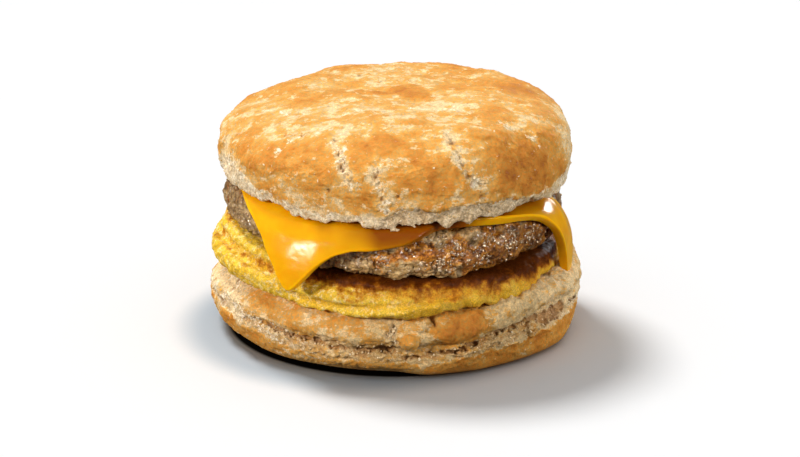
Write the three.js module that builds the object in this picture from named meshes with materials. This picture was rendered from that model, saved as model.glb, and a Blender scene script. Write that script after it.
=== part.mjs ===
// A breakfast sandwich: a split scone-like biscuit round a folded egg, a sausage patty and melted cheese.
// Lengths are millimetres and angles are degrees, with +Z up. The origin is the middle of the flat foot.
// -Y is the front, +X is to the right of someone facing the front, and angles turn from +X towards +Y.
import * as THREE from "three";

const tau = 2 * Math.PI;
const gap = 0.35; // the air left between two pieces that lie on each other

// Each meeting face of the stack is a plane: its height at the origin, and its rise for each mm of x and of y.
const lowerCutFace = { height: 17.0, riseX: -0.015, riseY: 0 };
const eggTopFace = { height: 26.4, riseX: -0.07, riseY: 0.03 };
const pattyTopFace = { height: 37.3, riseX: -0.045, riseY: 0.02 };
const upperCutFace = { height: 40.75, riseX: -0.038, riseY: 0.02 };

const lowerBiscuit = { radius: 45.6, columns: 96, fissureHeight: 9.6, fissureDepth: 2.6, fissureWidth: 1.1 };
const egg = { radius: 44.2, columns: 80, foldShare: 0.64, foldRecess: 2.2, edgeCurl: 3.4 };
const patty = { radius: 41.8, columns: 76, centreX: -0.7 };
const cheese = { thickness: 2.3, columns: 90, levelReach: 35.8, bendEnd: 43.7 };
const upperBiscuit = { radius: 44.2, columns: 92, centreX: 0.4, crownHeight: 60.5, crownTilt: 0.022 };

// The golden knob of dough that stands out of the lower biscuit's front, just above the fissure.
const knob = { angle: 274.5, height: 10.6, size: 2.3, stand: 1.5 };
// The upper biscuit has risen in a few lobes: the angles, width and depth of the soft valleys between them.
const valleys = { angles: [52, 104, 150, 229, 283, 318], width: 9, depth: 0.8 };

// How uneven each surface is, coarse before fine: how far it stands, the size of its bumps, and a seed.
const relief = {
  lowerSide: [[0.6, 15, 1.7], [0.4, 6.5, 5.2]],
  eggSide: [[0.45, 12, 2.3], [0.3, 5.5, 7.9]],
  pattySide: [[0.5, 11, 4.4], [0.35, 5, 9.1]],
  upperWhole: [[0.8, 21, 6.1]],
  upperSide: [[0.35, 8, 2.9]],
  upperRim: [[0.5, 6, 8.3]],
};

const colours = {
  biscuit: 0xe0a457,
  egg: 0xf0c848,
  patty: 0x7d5638,
  cheese: 0xf3a51c,
};

const radians = (angle) => (angle * Math.PI) / 180;
const mix = (a, b, share) => a + (b - a) * share;
const clamp = (value, low, high) => Math.min(high, Math.max(low, value));
const heightOn = (face, x, y) => face.height + face.riseX * x + face.riseY * y;
const bell = (offset, width) => Math.exp(-((offset / width) ** 2));

// A smooth step from 0 to 1.
function ease(share) {
  const s = clamp(share, 0, 1);
  return s * s * (3 - 2 * s);
}

// How far one angle is past another, from -180 to 180.
function turnBetween(from, to) {
  return ((((to - from) % 360) + 540) % 360) - 180;
}

// A smooth unevenness of about -1 to 1 with bumps of the given size: waves that run in spread directions.
function lumps(x, y, z, size, seed) {
  const waves = 8;
  const goldenAngle = 2.399963;
  let sum = 0;
  for (let i = 0; i < waves; i++) {
    const up = 1 - (2 * i + 1) / waves;
    const flat = Math.sqrt(1 - up * up);
    const turn = goldenAngle * (i + seed);
    const along = x * flat * Math.cos(turn) + y * flat * Math.sin(turn) + z * up;
    sum += Math.sin((tau * along * (0.75 + 0.08 * i)) / size + seed * (i + 1));
  }
  return (sum * 2) / waves;
}

// The unevenness of a surface at a point, from its [stand, size, seed] layers.
function uneven(layers, x, y, z) {
  return layers.reduce((sum, [stand, size, seed]) => sum + stand * lumps(x, y, z, size, seed), 0);
}

// A value that changes smoothly round the part, through [angle, value] stops in rising order of angle.
function around(stops, angle) {
  const turned = ((angle % 360) + 360) % 360;
  const count = stops.length;
  for (let i = 0; i < count; i++) {
    const [from, a] = stops[i];
    const [next, b] = stops[(i + 1) % count];
    const span = (next - from + 360) % 360;
    const past = (turned - from + 360) % 360;
    if (past <= span) return mix(a, b, ease(past / span));
  }
  return stops[0][1];
}

// A closed body from rings that run from the pole underneath, out round the side, to the pole on top.
// placeAt(angle, row) gives a point, and the first and last rows are the poles.
// Each square is split along its shorter diagonal.
function ringedBody(columns, rows, placeAt) {
  const points = [placeAt(0, 0)];
  for (let row = 1; row < rows; row++)
    for (let column = 0; column < columns; column++) points.push(placeAt((360 * column) / columns, row));
  points.push(placeAt(0, rows));
  const last = points.length - 1;
  const at = (row, column) => 1 + (row - 1) * columns + (column % columns);
  const faces = [];
  for (let column = 0; column < columns; column++) {
    faces.push(0, at(1, column + 1), at(1, column));
    for (let row = 1; row < rows - 1; row++) {
      const [a, b] = [at(row, column), at(row, column + 1)];
      const [c, d] = [at(row + 1, column), at(row + 1, column + 1)];
      const rising = points[a].distanceTo(points[d]) < points[b].distanceTo(points[c]);
      if (rising) faces.push(a, b, d, a, d, c);
      else faces.push(a, b, c, b, d, c);
    }
    faces.push(at(rows - 1, column), at(rows - 1, column + 1), last);
  }
  const geometry = new THREE.BufferGeometry().setFromPoints(points);
  geometry.setIndex(faces);
  geometry.computeVertexNormals();
  return geometry;
}

// The point at a distance from an axis that stands at centreX, in the direction of an angle.
function outFrom(centreX, distance, angle, z) {
  const turn = radians(angle);
  return new THREE.Vector3(centreX + distance * Math.cos(turn), distance * Math.sin(turn), z);
}

function piece(name, geometry, colour, roughness) {
  const finish = new THREE.MeshStandardMaterial({ color: colour, roughness, metalness: 0 });
  const mesh = new THREE.Mesh(geometry, finish);
  mesh.name = name;
  return mesh;
}

// The lower half: a flat foot, a side that has torn open along a level fissure, and the cut face on top.
// Its profile goes out and up in shares of the radius and millimetres; the last stops lie on the cut face.
function lowerBiscuitGeometry() {
  const { radius, columns, fissureHeight, fissureDepth, fissureWidth } = lowerBiscuit;
  const footStops = [
    [0, 1.085], [40, 1.05], [90, 1.0], [140, 1.0], [180, 1.025], [203, 0.985], [222, 0.985], [244, 0.955],
    [266, 0.95], [284, 1.015], [305, 1.045], [340, 1.09],
  ];
  const sideStops = [
    [0, 1.022], [60, 1.015], [110, 0.985], [180, 1.033], [225, 0.995], [270, 0.985], [335, 1.03],
  ];
  const shoulderStops = [[0, 0], [50, 0], [100, 0.8], [180, 2.8], [235, 0.9], [300, 0.4]];
  const fissureStops = [[0, 2.2], [90, -0.6], [160, 0.8], [225, 0.6], [272, -1.4], [300, 0.2], [322, 2.3]];
  const tornStops = [[0, 0.9], [70, 0.5], [120, 0.8], [180, 0.15], [215, 0.6], [255, 1.0], [300, 1.1]];
  const rimStops = [
    [12, 3.2], [40, 2.6], [78, 0.3], [200, 0], [235, -0.6], [300, -1.2], [346, -1.6], [358, 1.0],
  ];
  const profile = [
    [0, 0], [0.45, 0], [0.8, 0], [0.885, 0.6], [0.94, 2.2], [0.97, 4.6], [0.99, 7.0], [0.995, 8.5],
    [0.985, 9.6], [1.0, 10.7], [1.0, 12.4], [0.99, 14.4], [0.965, 16.2], [0.93, 17.2], [0.89, 17.0],
    [0.55, 17.0], [0, 17.0],
  ];
  const lastSideRow = profile.length - 4;
  return ringedBody(columns, profile.length - 1, (angle, row) => {
    const [share, stopHeight] = profile[row];
    const onFace = row > lastSideRow;
    const outline = mix(around(footStops, angle), around(sideStops, angle), ease(stopHeight / 6));
    let r = share * radius * mix(1, outline, ease(share * 2));
    if (onFace) {
      const flat = outFrom(0, r, angle, 0);
      return flat.setZ(heightOn(lowerCutFace, flat.x, flat.y));
    }
    const side = ease((stopHeight - 0.6) / 2.4);
    const z = stopHeight + side * (
      around(fissureStops, angle) * bell(stopHeight - fissureHeight, 5) +
      around(rimStops, angle) * ease((stopHeight - 11) / 6));
    const flat = outFrom(0, r, angle, z);
    const torn = around(tornStops, angle) * (0.65 + 0.35 * lumps(flat.x, flat.y, 0, 21, 3.1));
    const besideKnob = radians(turnBetween(knob.angle, angle)) * radius;
    r -= around(shoulderStops, angle) * ease((stopHeight - 10) / 7);
    r -= side * torn * fissureDepth * bell(stopHeight - fissureHeight, fissureWidth);
    r += side * uneven(relief.lowerSide, flat.x, flat.y, 1.5 * z);
    r += knob.stand * bell(besideKnob, knob.size) * bell(z - knob.height, knob.size);
    return outFrom(0, r, angle, z);
  });
}

// The egg: a round omelette folded over itself, so that its left and front show two layers and a groove.
function eggGeometry() {
  const { radius, columns, foldShare, foldRecess, edgeCurl } = egg;
  const outlineStops = [
    [5, 0.935], [45, 0.94], [90, 0.985], [140, 1.01], [180, 1.045], [212, 1.02], [240, 0.99], [270, 1.0],
    [305, 0.985], [338, 0.945],
  ];
  const foldStops = [[40, 0], [120, 0.6], [175, 1], [235, 1], [285, 0.75], [318, 0.12]];
  const sagStops = [[20, 0], [200, 0], [238, 0.9], [275, 1.5], [310, 1.0], [340, 0]];
  return ringedBody(columns, 13, (angle, row) => {
    const fold = around(foldStops, angle);
    const sag = around(sagStops, angle);
    const outer = radius * around(outlineStops, angle);
    const inner = outer - 0.5 - foldRecess * fold;
    const rim = outFrom(0, outer, angle, 0);
    const low = heightOn(lowerCutFace, rim.x, rim.y) + gap;
    const high = heightOn(eggTopFace, rim.x, rim.y);
    const middle = mix(low, high, foldShare);
    const profile = [
      [0, low], [outer * 0.6, low], [outer - edgeCurl, low], [outer - 0.8, low + 0.8 - sag],
      [outer, mix(low - sag, middle, 0.4)], [outer - 0.25, mix(low, middle, 0.75)],
      [outer - 0.5 - 1.1 * fold, middle - 0.25],
      [inner - 1.3 * fold, middle + 0.3], [inner, mix(middle, high, 0.45)],
      [inner - 0.7, mix(middle, high, 0.85)], [inner - edgeCurl, high],
      [radius * 0.8, high], [radius * 0.45, high], [0, high],
    ];
    const [distance, z] = profile[row];
    const side = ease((row - 2) / 1.2) * ease((9.8 - row) / 1.2);
    const flat = outFrom(0, distance, angle, z);
    const point = outFrom(0, distance + side * uneven(relief.eggSide, flat.x, flat.y, 1.5 * z), angle, z);
    if (row <= 2) point.z = heightOn(lowerCutFace, point.x, point.y) + gap;
    if (row >= 10) point.z = heightOn(eggTopFace, point.x, point.y);
    return point;
  });
}

// The patty: a thick round of ground meat with a rounded, craggy edge.
function pattyGeometry() {
  const { radius, columns, centreX } = patty;
  const outlineStops = [[0, 0.99], [50, 1.0], [110, 0.985], [180, 1.0], [235, 0.99], [280, 1.0], [330, 0.98]];
  const roundStops = [[0, 5.4], [40, 3.6], [290, 3.6], [335, 5.4]];
  return ringedBody(columns, 11, (angle, row) => {
    const edgeRound = around(roundStops, angle);
    const outer = radius * around(outlineStops, angle);
    const rim = outFrom(centreX, outer, angle, 0);
    const low = heightOn(eggTopFace, rim.x, rim.y) + gap;
    const high = heightOn(pattyTopFace, rim.x, rim.y);
    const profile = [
      [0, low], [outer * 0.5, low], [outer - edgeRound, low], [outer - 0.27 * edgeRound, low + 0.8],
      [outer, mix(low, high, 0.3)], [outer + 0.1, mix(low, high, 0.55)], [outer - 0.4, mix(low, high, 0.76)],
      [outer - 0.4 * edgeRound, high - 0.6], [outer - 1.1 * edgeRound, high], [outer * 0.75, high],
      [outer * 0.4, high], [0, high],
    ];
    const [distance, z] = profile[row];
    const side = ease((row - 2) / 1.2) * ease((8 - row) / 1.2);
    const flat = outFrom(0, distance, angle, z);
    const point = outFrom(centreX, distance + side * uneven(relief.pattySide, flat.x, flat.y, z), angle, z);
    if (row <= 2) point.z = heightOn(eggTopFace, point.x, point.y) + gap;
    if (row >= 8) point.z = heightOn(pattyTopFace, point.x, point.y);
    return point;
  });
}

// The outline of the slice when flat: a smooth line through [angle, reach] stops, drawn out at four corners.
function cheeseOutline() {
  const stops = [
    [8, 41.2], [28, 40.8], [44, 44], [56, 52], [62, 56], [68, 53], [80, 45.5], [98, 42.5], [118, 45],
    [132, 52.5], [137, 55.5], [142, 52], [152, 43], [164, 39.6], [182, 39.4], [198, 39.4], [210, 40.5],
    [225, 45.3], [232, 50.5], [238.5, 56.5], [241, 57.5], [244, 56.5], [251, 51.5], [261, 47.2], [274, 44],
    [291, 41.4], [310, 41.5], [326.5, 45.5], [332.5, 49.5], [337.5, 54.5], [341, 59], [344, 60],
    [347, 57.5], [351, 50.5], [357, 43.5],
  ];
  const corners = stops.map(([angle, reach]) => outFrom(0, reach, angle, 0));
  return new THREE.CatmullRomCurve3(corners, true, "centripetal");
}

// Where a point of the flat slice comes to lie: level as far as the bend, then down over the patty's edge.
// Where the slice hangs, splay is how far it leans out from the vertical. The bend is softest at the right.
function drapedCheese(distance, angle, above) {
  const bendRadius = around([[0, 7.6], [40, 4.9], [290, 4.9], [335, 7.6]], angle);
  const bendStart = cheese.bendEnd - bendRadius;
  const splayStops = [[0, 0], [40, 8], [150, 10], [238, 13], [300, 6], [340, 0]];
  const past = Math.max(0, distance - bendStart);
  const fullBend = radians(90 - around(splayStops, angle));
  const bend = Math.min(past / bendRadius, fullBend);
  const hanging = Math.max(0, past - fullBend * bendRadius);
  const level = Math.min(distance, bendStart);
  const r = level + (bendRadius + above) * Math.sin(bend) + hanging * Math.cos(bend);
  const drop = (bendRadius + above) * (1 - Math.cos(bend)) + hanging * Math.sin(bend);
  const under = outFrom(patty.centreX, level, angle, 0);
  return outFrom(patty.centreX, r, angle, heightOn(pattyTopFace, under.x, under.y) + gap + above - drop);
}

// The cheese: one slice of even thickness with a rounded edge.
// Its rows go out along the underside, round the edge and back along the top, each as a share of the way out
// from the level middle and a share of the thickness.
function cheeseGeometry() {
  const { thickness, columns, levelReach } = cheese;
  const sheetShares = [0, 0.12, 0.24, 0.38, 0.56, 0.78, 0.94];
  const edge = [[0.985, 0.12], [1.0, 0.5], [0.985, 0.88]];
  const underside = sheetShares.map((share) => [share, 0]);
  const topside = sheetShares.map((share) => [share, 1]).reverse();
  const rows = [...underside, ...edge, ...topside];
  const outline = cheeseOutline();
  return ringedBody(columns, rows.length + 1, (turned, row) => {
    if (row === 0) return drapedCheese(0, 0, 0);
    if (row > rows.length) return drapedCheese(0, 0, thickness);
    const [share, depth] = rows[row - 1];
    const tip = outline.getPointAt(turned / 360);
    const reach = Math.hypot(tip.x, tip.y);
    const angle = (Math.atan2(tip.y, tip.x) * 360) / tau;
    return drapedCheese(mix(Math.min(levelReach, reach), reach, share), angle, depth * thickness);
  });
}

// The upper half: the cut face underneath, a ragged pale rim, a full side and a crown that has risen in lobes.
// Its profile goes out and up from the cut face, in shares of the radius and millimetres.
function upperBiscuitGeometry() {
  const { radius, columns, centreX, crownHeight, crownTilt } = upperBiscuit;
  const outlineStops = [[45, 0.99], [90, 1.0], [135, 0.985], [180, 1.0], [225, 0.99], [270, 0.995], [315, 1.0]];
  const rimStops = [
    [10, 0], [60, -0.6], [145, -0.4], [178, -2.2], [200, -1.6], [215, -0.2], [234, 0.7], [262, -1.0],
    [286, -0.6], [325, 1.0],
  ];
  const crown = crownHeight - upperCutFace.height;
  const profile = [
    [0, 0], [0.45, 0], [0.87, 0], [0.93, 0.05], [0.965, 0.3], [0.985, 1.7], [1.0, 4.4], [1.0, 7.2],
    [0.985, 9.9], [0.955, 12.5], [0.9, 14.8], [0.825, 16.6], [0.73, 17.9], [0.61, 18.8], [0.48, 19.3],
    [0.36, 19.5], [0.24, 19.65], [0.12, 19.7], [0, crown],
  ];
  const firstRimRow = 3;
  return ringedBody(columns, profile.length - 1, (angle, row) => {
    const [share, rise] = profile[row];
    const r = share * radius * mix(1, around(outlineStops, angle), ease(share * 2));
    const flat = outFrom(0, r, angle, 0);
    const level = heightOn(upperCutFace, flat.x, flat.y);
    if (row < firstRimRow) return outFrom(centreX, r, angle, level);
    const rim = ease((row - firstRimRow) / 1.5) * ease((8 - row) / 3);
    const lean = ease((row - 6) / 5) * (crownTilt - upperCutFace.riseX) * flat.x;
    const ragged = around(rimStops, angle) + uneven(relief.upperRim, flat.x, flat.y, 0);
    const z = level + rise + lean + rim * ragged;
    const nearest = Math.min(...valleys.angles.map((valley) => Math.abs(turnBetween(valley, angle))));
    const onShoulder = ease((row - 5) / 2) * ease((share - 0.55) / 0.3);
    const valley = valleys.depth * bell(nearest, valleys.width) * onShoulder;
    const upward = ease(rise / crown);
    const broad = uneven(relief.upperWhole, flat.x, flat.y, z);
    const fine = (1 - upward) * uneven(relief.upperSide, flat.x, flat.y, z);
    const stand = ease((row - firstRimRow) / 2) * (broad + fine - valley);
    return outFrom(centreX, r + stand * (1 - upward), angle, z + stand * upward);
  });
}

const sandwich = new THREE.Group();
sandwich.add(
  piece("lower_biscuit", lowerBiscuitGeometry(), colours.biscuit, 0.85),
  piece("folded_egg", eggGeometry(), colours.egg, 0.45),
  piece("sausage_patty", pattyGeometry(), colours.patty, 0.4),
  piece("cheese_slice", cheeseGeometry(), colours.cheese, 0.3),
  piece("upper_biscuit", upperBiscuitGeometry(), colours.biscuit, 0.85),
);

export default sandwich;
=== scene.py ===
# %% [markdown]
# # A breakfast sandwich
# A baker stacks it from five things: the lower half of a split biscuit, a folded egg, a sausage patty,
# a slice of cheese that melts over the edge, and the upper half of the biscuit. The solids that are
# loaded here already have the right sizes and places, but they are made of flat facets. A baked crust
# could be painted onto them with textures alone, but its torn rim and fissures change the outline. So
# each solid is copied, rounded, divided finely and then sculpted by code, and the copy stands in for
# it. The cheese is the one piece that is drawn anew, by a formula.

import math

import bmesh
import bpy
import numpy as np
from mathutils import Matrix, Vector, noise


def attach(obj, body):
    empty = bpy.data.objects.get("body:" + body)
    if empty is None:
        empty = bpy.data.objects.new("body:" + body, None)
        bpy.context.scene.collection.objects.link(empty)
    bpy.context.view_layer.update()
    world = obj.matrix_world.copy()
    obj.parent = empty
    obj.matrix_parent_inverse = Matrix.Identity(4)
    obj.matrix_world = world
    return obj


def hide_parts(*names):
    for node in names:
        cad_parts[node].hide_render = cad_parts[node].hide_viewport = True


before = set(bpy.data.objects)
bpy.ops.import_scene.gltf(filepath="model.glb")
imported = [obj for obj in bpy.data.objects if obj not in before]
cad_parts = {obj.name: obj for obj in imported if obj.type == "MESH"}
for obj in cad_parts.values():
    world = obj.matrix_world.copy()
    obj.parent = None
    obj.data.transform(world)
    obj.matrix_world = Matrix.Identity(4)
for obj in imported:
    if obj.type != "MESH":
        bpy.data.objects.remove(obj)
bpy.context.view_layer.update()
MM = 0.001  # every size below is in millimetres, and Blender works in metres

# %% [markdown]
# ## The camera
# A product picture of food is taken from a little above the ground, with a long lens so that the stack
# doesn't lean. The camera could be turned by hand until it looks right. Here it is placed by its angle
# above the ground and its distance from the middle of the sandwich, which is easier to reason about.

# %% Camera
camera_height_angle = math.radians(18.5)
camera_distance = 620 * MM
aim = Vector((1.27, 0, 24.2)) * MM

scene = bpy.context.scene
camera = bpy.data.objects.new("camera", bpy.data.cameras.new("camera"))
scene.collection.objects.link(camera)
backward = Vector((0, -math.cos(camera_height_angle), math.sin(camera_height_angle)))
camera.location = aim + camera_distance * backward
camera.rotation_euler = backward.to_track_quat("Z", "Y").to_euler()
camera.data.lens = 110
camera.data.sensor_width = 36
scene.camera = camera
print("the camera stands at", [round(side, 3) for side in camera.location])

# %% [markdown]
# ## Light from all round
# A room lights food a little from everywhere: more from above, and a little from below, where the white
# ground throws light back up under the rims. A picture of a room could be wrapped round the scene. Here
# the world's strength is worked out from how high each ray looks, which needs no picture and stays the
# same in each run.

# %% World
def ranged(tree, value, **limits):
    """A node that stretches a value from one range to another, with the node's limits by name."""
    made = tree.nodes.new("ShaderNodeMapRange")
    for name, limit in limits.items():
        made.inputs[name.replace("_", " ")].default_value = limit
    tree.links.new(value, made.inputs["Value"])
    return made


scene.view_settings.view_transform = "Standard"
world = bpy.data.worlds.new("studio")
scene.world = world
world.use_nodes = True
sky = world.node_tree
background = sky.nodes["Background"]
looking = sky.nodes.new("ShaderNodeSeparateXYZ")
sky.links.new(sky.nodes.new("ShaderNodeTexCoord").outputs["Generated"], looking.inputs[0])
from_above = ranged(sky, looking.outputs["Z"], To_Min=0.06, To_Max=0.62)
from_below = ranged(sky, looking.outputs["Z"], From_Min=-0.3, From_Max=0.0, To_Min=0.07, To_Max=0.0)
together = sky.nodes.new("ShaderNodeMath")
sky.links.new(from_above.outputs["Result"], together.inputs[0])
sky.links.new(from_below.outputs["Result"], together.inputs[1])
sky.links.new(together.outputs[0], background.inputs["Strength"])
background.inputs["Color"].default_value = (0.97, 0.985, 1, 1)
print("the world has", len(sky.nodes), "nodes")

# %% [markdown]
# ## The lamps
# The crown is bright from a high lamp behind its left shoulder, which throws a soft shadow to the right
# and front. Three soft boxes put the white marks on the cheese and the shine on the patty: a warm one
# at the front left, a tall one at the front right and one behind the right shoulder. Small spots would
# give hard sparks. A sun lamp lights the whole floor evenly, so it is also what makes the ground white.

# %% Lamps
def toward(angle, above):
    """The direction of a lamp that stands at an angle round the sandwich and so far above the horizon."""
    turn, rise = math.radians(angle), math.radians(above)
    return Vector((math.cos(turn) * math.cos(rise), math.sin(turn) * math.cos(rise), math.sin(rise)))


def lamp(name, kind, direction, energy, **settings):
    """A lamp that shines from a direction at the middle of the sandwich."""
    data = bpy.data.lights.new(name, kind)
    data.energy = energy
    for setting, value in settings.items():
        setattr(data, setting, value)
    made = bpy.data.objects.new(name, data)
    scene.collection.objects.link(made)
    made.location = aim + direction * lamp_distance
    made.rotation_euler = direction.to_track_quat("Z", "Y").to_euler()
    return made


lamp_distance = 0.9
lamp("key", "SUN", toward(131, 59), 2.15, angle=math.radians(17))
boxes = [
    lamp("left_box", "AREA", toward(214, 20), 6.4, color=(1, 0.95, 0.90), shape="RECTANGLE",
         size=0.20, size_y=0.06),
    lamp("right_box", "AREA", toward(322, 21), 4.5, shape="RECTANGLE", size=0.16, size_y=0.30),
    lamp("back_box", "AREA", toward(58, 15), 1.9, shape="RECTANGLE", size=0.14, size_y=0.22),
]

# %% [markdown]
# ## The ground
# The sandwich stands on white ground. Under the curve of its foot almost no light arrives, so the
# ground is black at the very edge and grey for a few millimetres around. Light alone would leave that
# too pale here, because the ground is so bright. So two soft ovals of shade are laid into the ground's
# own colour.

# %% Floor
floor_reach = 6.0
corners = [(-floor_reach, -floor_reach, 0), (floor_reach, -floor_reach, 0),
           (floor_reach, floor_reach, 0), (-floor_reach, floor_reach, 0)]
floor_mesh = bpy.data.meshes.new("floor")
floor_mesh.from_pydata(corners, [], [(0, 1, 2, 3)])
floor = bpy.data.objects.new("floor", floor_mesh)
scene.collection.objects.link(floor)
floor_finish = bpy.data.materials.new("white_ground")
floor_finish.use_nodes = True
floor_shader = floor_finish.node_tree.nodes["Principled BSDF"]
floor_shader.inputs["Roughness"].default_value = 1.0
floor_shader.inputs["Specular IOR Level"].default_value = 0.0
floor_mesh.materials.append(floor_finish)


def ground_shade(ground, spot, shorter, inner, outer, darkest, beyond):
    """An oval of shade round a spot, full up to the inner radius in mm and gone at the outer one."""
    here = ground.nodes.new("ShaderNodeTexCoord").outputs["Object"]
    oval = ground.nodes.new("ShaderNodeVectorMath")
    oval.operation = "MULTIPLY"
    oval.inputs[1].default_value = (1, shorter, 1)
    away = ground.nodes.new("ShaderNodeVectorMath")
    away.operation = "DISTANCE"
    away.inputs[1].default_value = (spot[0] * MM, spot[1] * shorter * MM, 0)
    blend = ground.nodes.new("ShaderNodeMix")
    blend.data_type = "RGBA"
    blend.inputs[6].default_value = (*darkest, 1)
    blend.inputs[7].default_value = (1, 1, 1, 1)
    ground.links.new(here, oval.inputs[0])
    ground.links.new(oval.outputs["Vector"], away.inputs[0])
    fade = ranged(ground, away.outputs["Value"], From_Min=inner * MM, From_Max=outer * MM)
    fade.interpolation_type = "SMOOTHSTEP"
    ground.links.new(fade.outputs["Result"], blend.inputs[0])
    if beyond is not None:
        ground.links.new(beyond, blend.inputs[7])
    return blend.outputs[2]


ground = floor_finish.node_tree
grey = ground_shade(ground, (-7, -3), 1.0, 41.0, 52.0, (0.56, 0.63, 0.69), None)
black = ground_shade(ground, (0.2, 0.9), 1.04, 42.3, 43.6, (0.01, 0.01, 0.01), grey)
ground.links.new(black, floor_shader.inputs["Base Color"])
floor.visible_diffuse = False
floor.visible_glossy = False
print("the ground is", 2 * floor_reach, "m wide")

# %% [markdown]
# ## The paper behind
# White paper hangs behind a product in a studio. A plane would end somewhere, so a wide ring stands all
# round, and it glows instead of being lit. It lights nothing itself. The soft boxes would wash the
# shadow on the ground out, so they light only what is in the collection of food.

# %% Backdrop
bpy.ops.mesh.primitive_cylinder_add(vertices=64, radius=5.5, depth=4, end_fill_type="NOTHING",
                                    location=(0, 0, 2))
backdrop = bpy.context.object
backdrop.name = "backdrop"
backdrop_finish = bpy.data.materials.new("white_paper")
backdrop_finish.use_nodes = True
paper = backdrop_finish.node_tree.nodes["Principled BSDF"]
paper.inputs["Emission Color"].default_value = (1, 1, 1, 1)
paper.inputs["Emission Strength"].default_value = 1.0
backdrop.data.materials.append(backdrop_finish)
backdrop.visible_diffuse = False
backdrop.visible_glossy = False
backdrop.visible_shadow = False

food = bpy.data.collections.new("food")
scene.collection.children.link(food)
for box in boxes:
    box.light_linking.receiver_collection = food
print("the soft boxes light only the collection", food.name)

# %% [markdown]
# ## Tools for sculpting
# Dough and meat are uneven at every size, from lobes as wide as a thumb to grains like sand. Blender's
# noise functions give a smooth unevenness that can be read at any point of space. Modifiers could use
# them too, but reading them in code lets one mask drive both the shape and the colour of a spot.

# %% Steps, bells and noise
def ease(share):
    """A smooth step from 0 to 1."""
    s = np.clip(share, 0, 1)
    return s * s * (3 - 2 * s)


def bell(offset, width):
    """1 where there is no offset, falling softly toward 0 past the width."""
    return np.exp(-((offset / width) ** 2))


def mix(a, b, share):
    """The first where the share is 0 and the second where it is 1."""
    return a + (b - a) * share


def rough(points, size, seed, octaves=4, stretch=(1, 1, 1)):
    """Unevenness of about -1 to 1, with bumps of a size in mm, stretched by a factor for each axis."""
    places = points / (size * np.array(stretch, float)) + seed * np.array((3.71, 9.13, 5.37))
    return 1.6 * np.array([noise.fractal(place, 1.0, 2.0, octaves) for place in places.tolist()])


def grains(points, size, seed):
    """How far each point is from the middle of its grain and of the next, in shares of a grain's size."""
    places = points / size + seed * np.array((7.31, 2.17, 4.93))
    found = np.array([noise.voronoi(place)[0][:2] for place in places.tolist()])
    return found[:, 0], found[:, 1]


def strayed(points, reach, size, seed):
    """The points, each moved at random by up to about a reach, so that a patch gets an uneven outline."""
    return points + reach * np.stack([rough(points, size, seed + turn, 3) for turn in range(3)], axis=1)


print("a quarter of the way up a smooth step it has risen by", float(ease(0.25)))

# %% [markdown]
# ## Places round the sandwich
# A baker would point at a spot by its direction and its height. So places on the side are given by
# their angle, seen from above: 0 is at the right, 90 at the back, 180 at the left and 270 at the front.
# Vertex groups could be painted by hand, but these places can be read, moved and used at any fineness
# of the mesh.

# %% Angles and spots
def around(stops, angle):
    """A value that changes smoothly round the sandwich, through [angle, value] stops in rising order."""
    turns = np.array([stop[0] for stop in stops], float)
    values = np.array([stop[1] for stop in stops], float)
    angle = np.asarray(angle) % 360
    here = (np.searchsorted(turns, angle, side="right") - 1) % len(stops)
    after = (here + 1) % len(stops)
    span = (turns[after] - turns[here]) % 360
    return mix(values[here], values[after], ease(((angle - turns[here]) % 360) / span))


def turned(start, end):
    """How far one angle is past another, from -180 to 180."""
    return (end - start + 180) % 360 - 180


def within(angle, start, end, soft):
    """1 between two angles and 0 elsewhere, with soft ends."""
    half = ((end - start) % 360) / 2
    return ease((half - np.abs(turned(start + half, angle))) / soft + 0.5)


def angle_of(points):
    """The angle of each point round the sandwich, from 0 to 360."""
    return np.degrees(np.arctan2(points[:, 1], points[:, 0])) % 360


def radius_of(points):
    """How far each point is from the upright line through the middle."""
    return np.hypot(points[:, 0], points[:, 1])


def patches(points, places):
    """The sum of soft spots, each given by its place, its size and its strength."""
    total = np.zeros(len(points))
    for x, y, z, size, strength in places:
        total += strength * bell(np.linalg.norm(points - (x, y, z), axis=1), size)
    return total


side_radius = 45
side_mm = math.radians(1) * side_radius  # the length on the side of one degree of turn
print("one degree round the side is", round(side_mm, 2), "mm long")

# %% [markdown]
# ## Lines on the side and the crown
# Fissures, creases and flakes run along lines. Curve objects could carry them, but all that the
# sculpting needs is how far each point is from the line, so a line is a short list of places and the
# distance is worked out. The side is treated as if it were unrolled like a label, so that lengths on it
# stay true.

# %% Lines, outlines and ovals
def off_run(here, run):
    """How far each place on a surface laid out flat is from a straight run that starts at 0."""
    run = np.array(run, float)
    share = np.clip(here @ run / max(run @ run, 1e-9), 0, 1)
    return np.linalg.norm(here - share[:, None] * run, axis=1)


def off_side_path(points, path):
    """How far each point is from a line on the side, through [angle, height] places."""
    nearest = np.full(len(points), 99.0)
    for (turn, low), (next_turn, high) in zip(path, path[1:]):
        here = np.stack([turned(turn, angle_of(points)) * side_mm, points[:, 2] - low], axis=1)
        nearest = np.minimum(nearest, off_run(here, (turned(turn, next_turn) * side_mm, high - low)))
    return nearest


def off_top_path(points, path):
    """The same for a line on the crown, through [x, y] places."""
    nearest = np.full(len(points), 99.0)
    for start, end in zip(path, path[1:]):
        nearest = np.minimum(nearest, off_run(points[:, :2] - start, np.subtract(end, start)))
    return nearest


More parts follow.
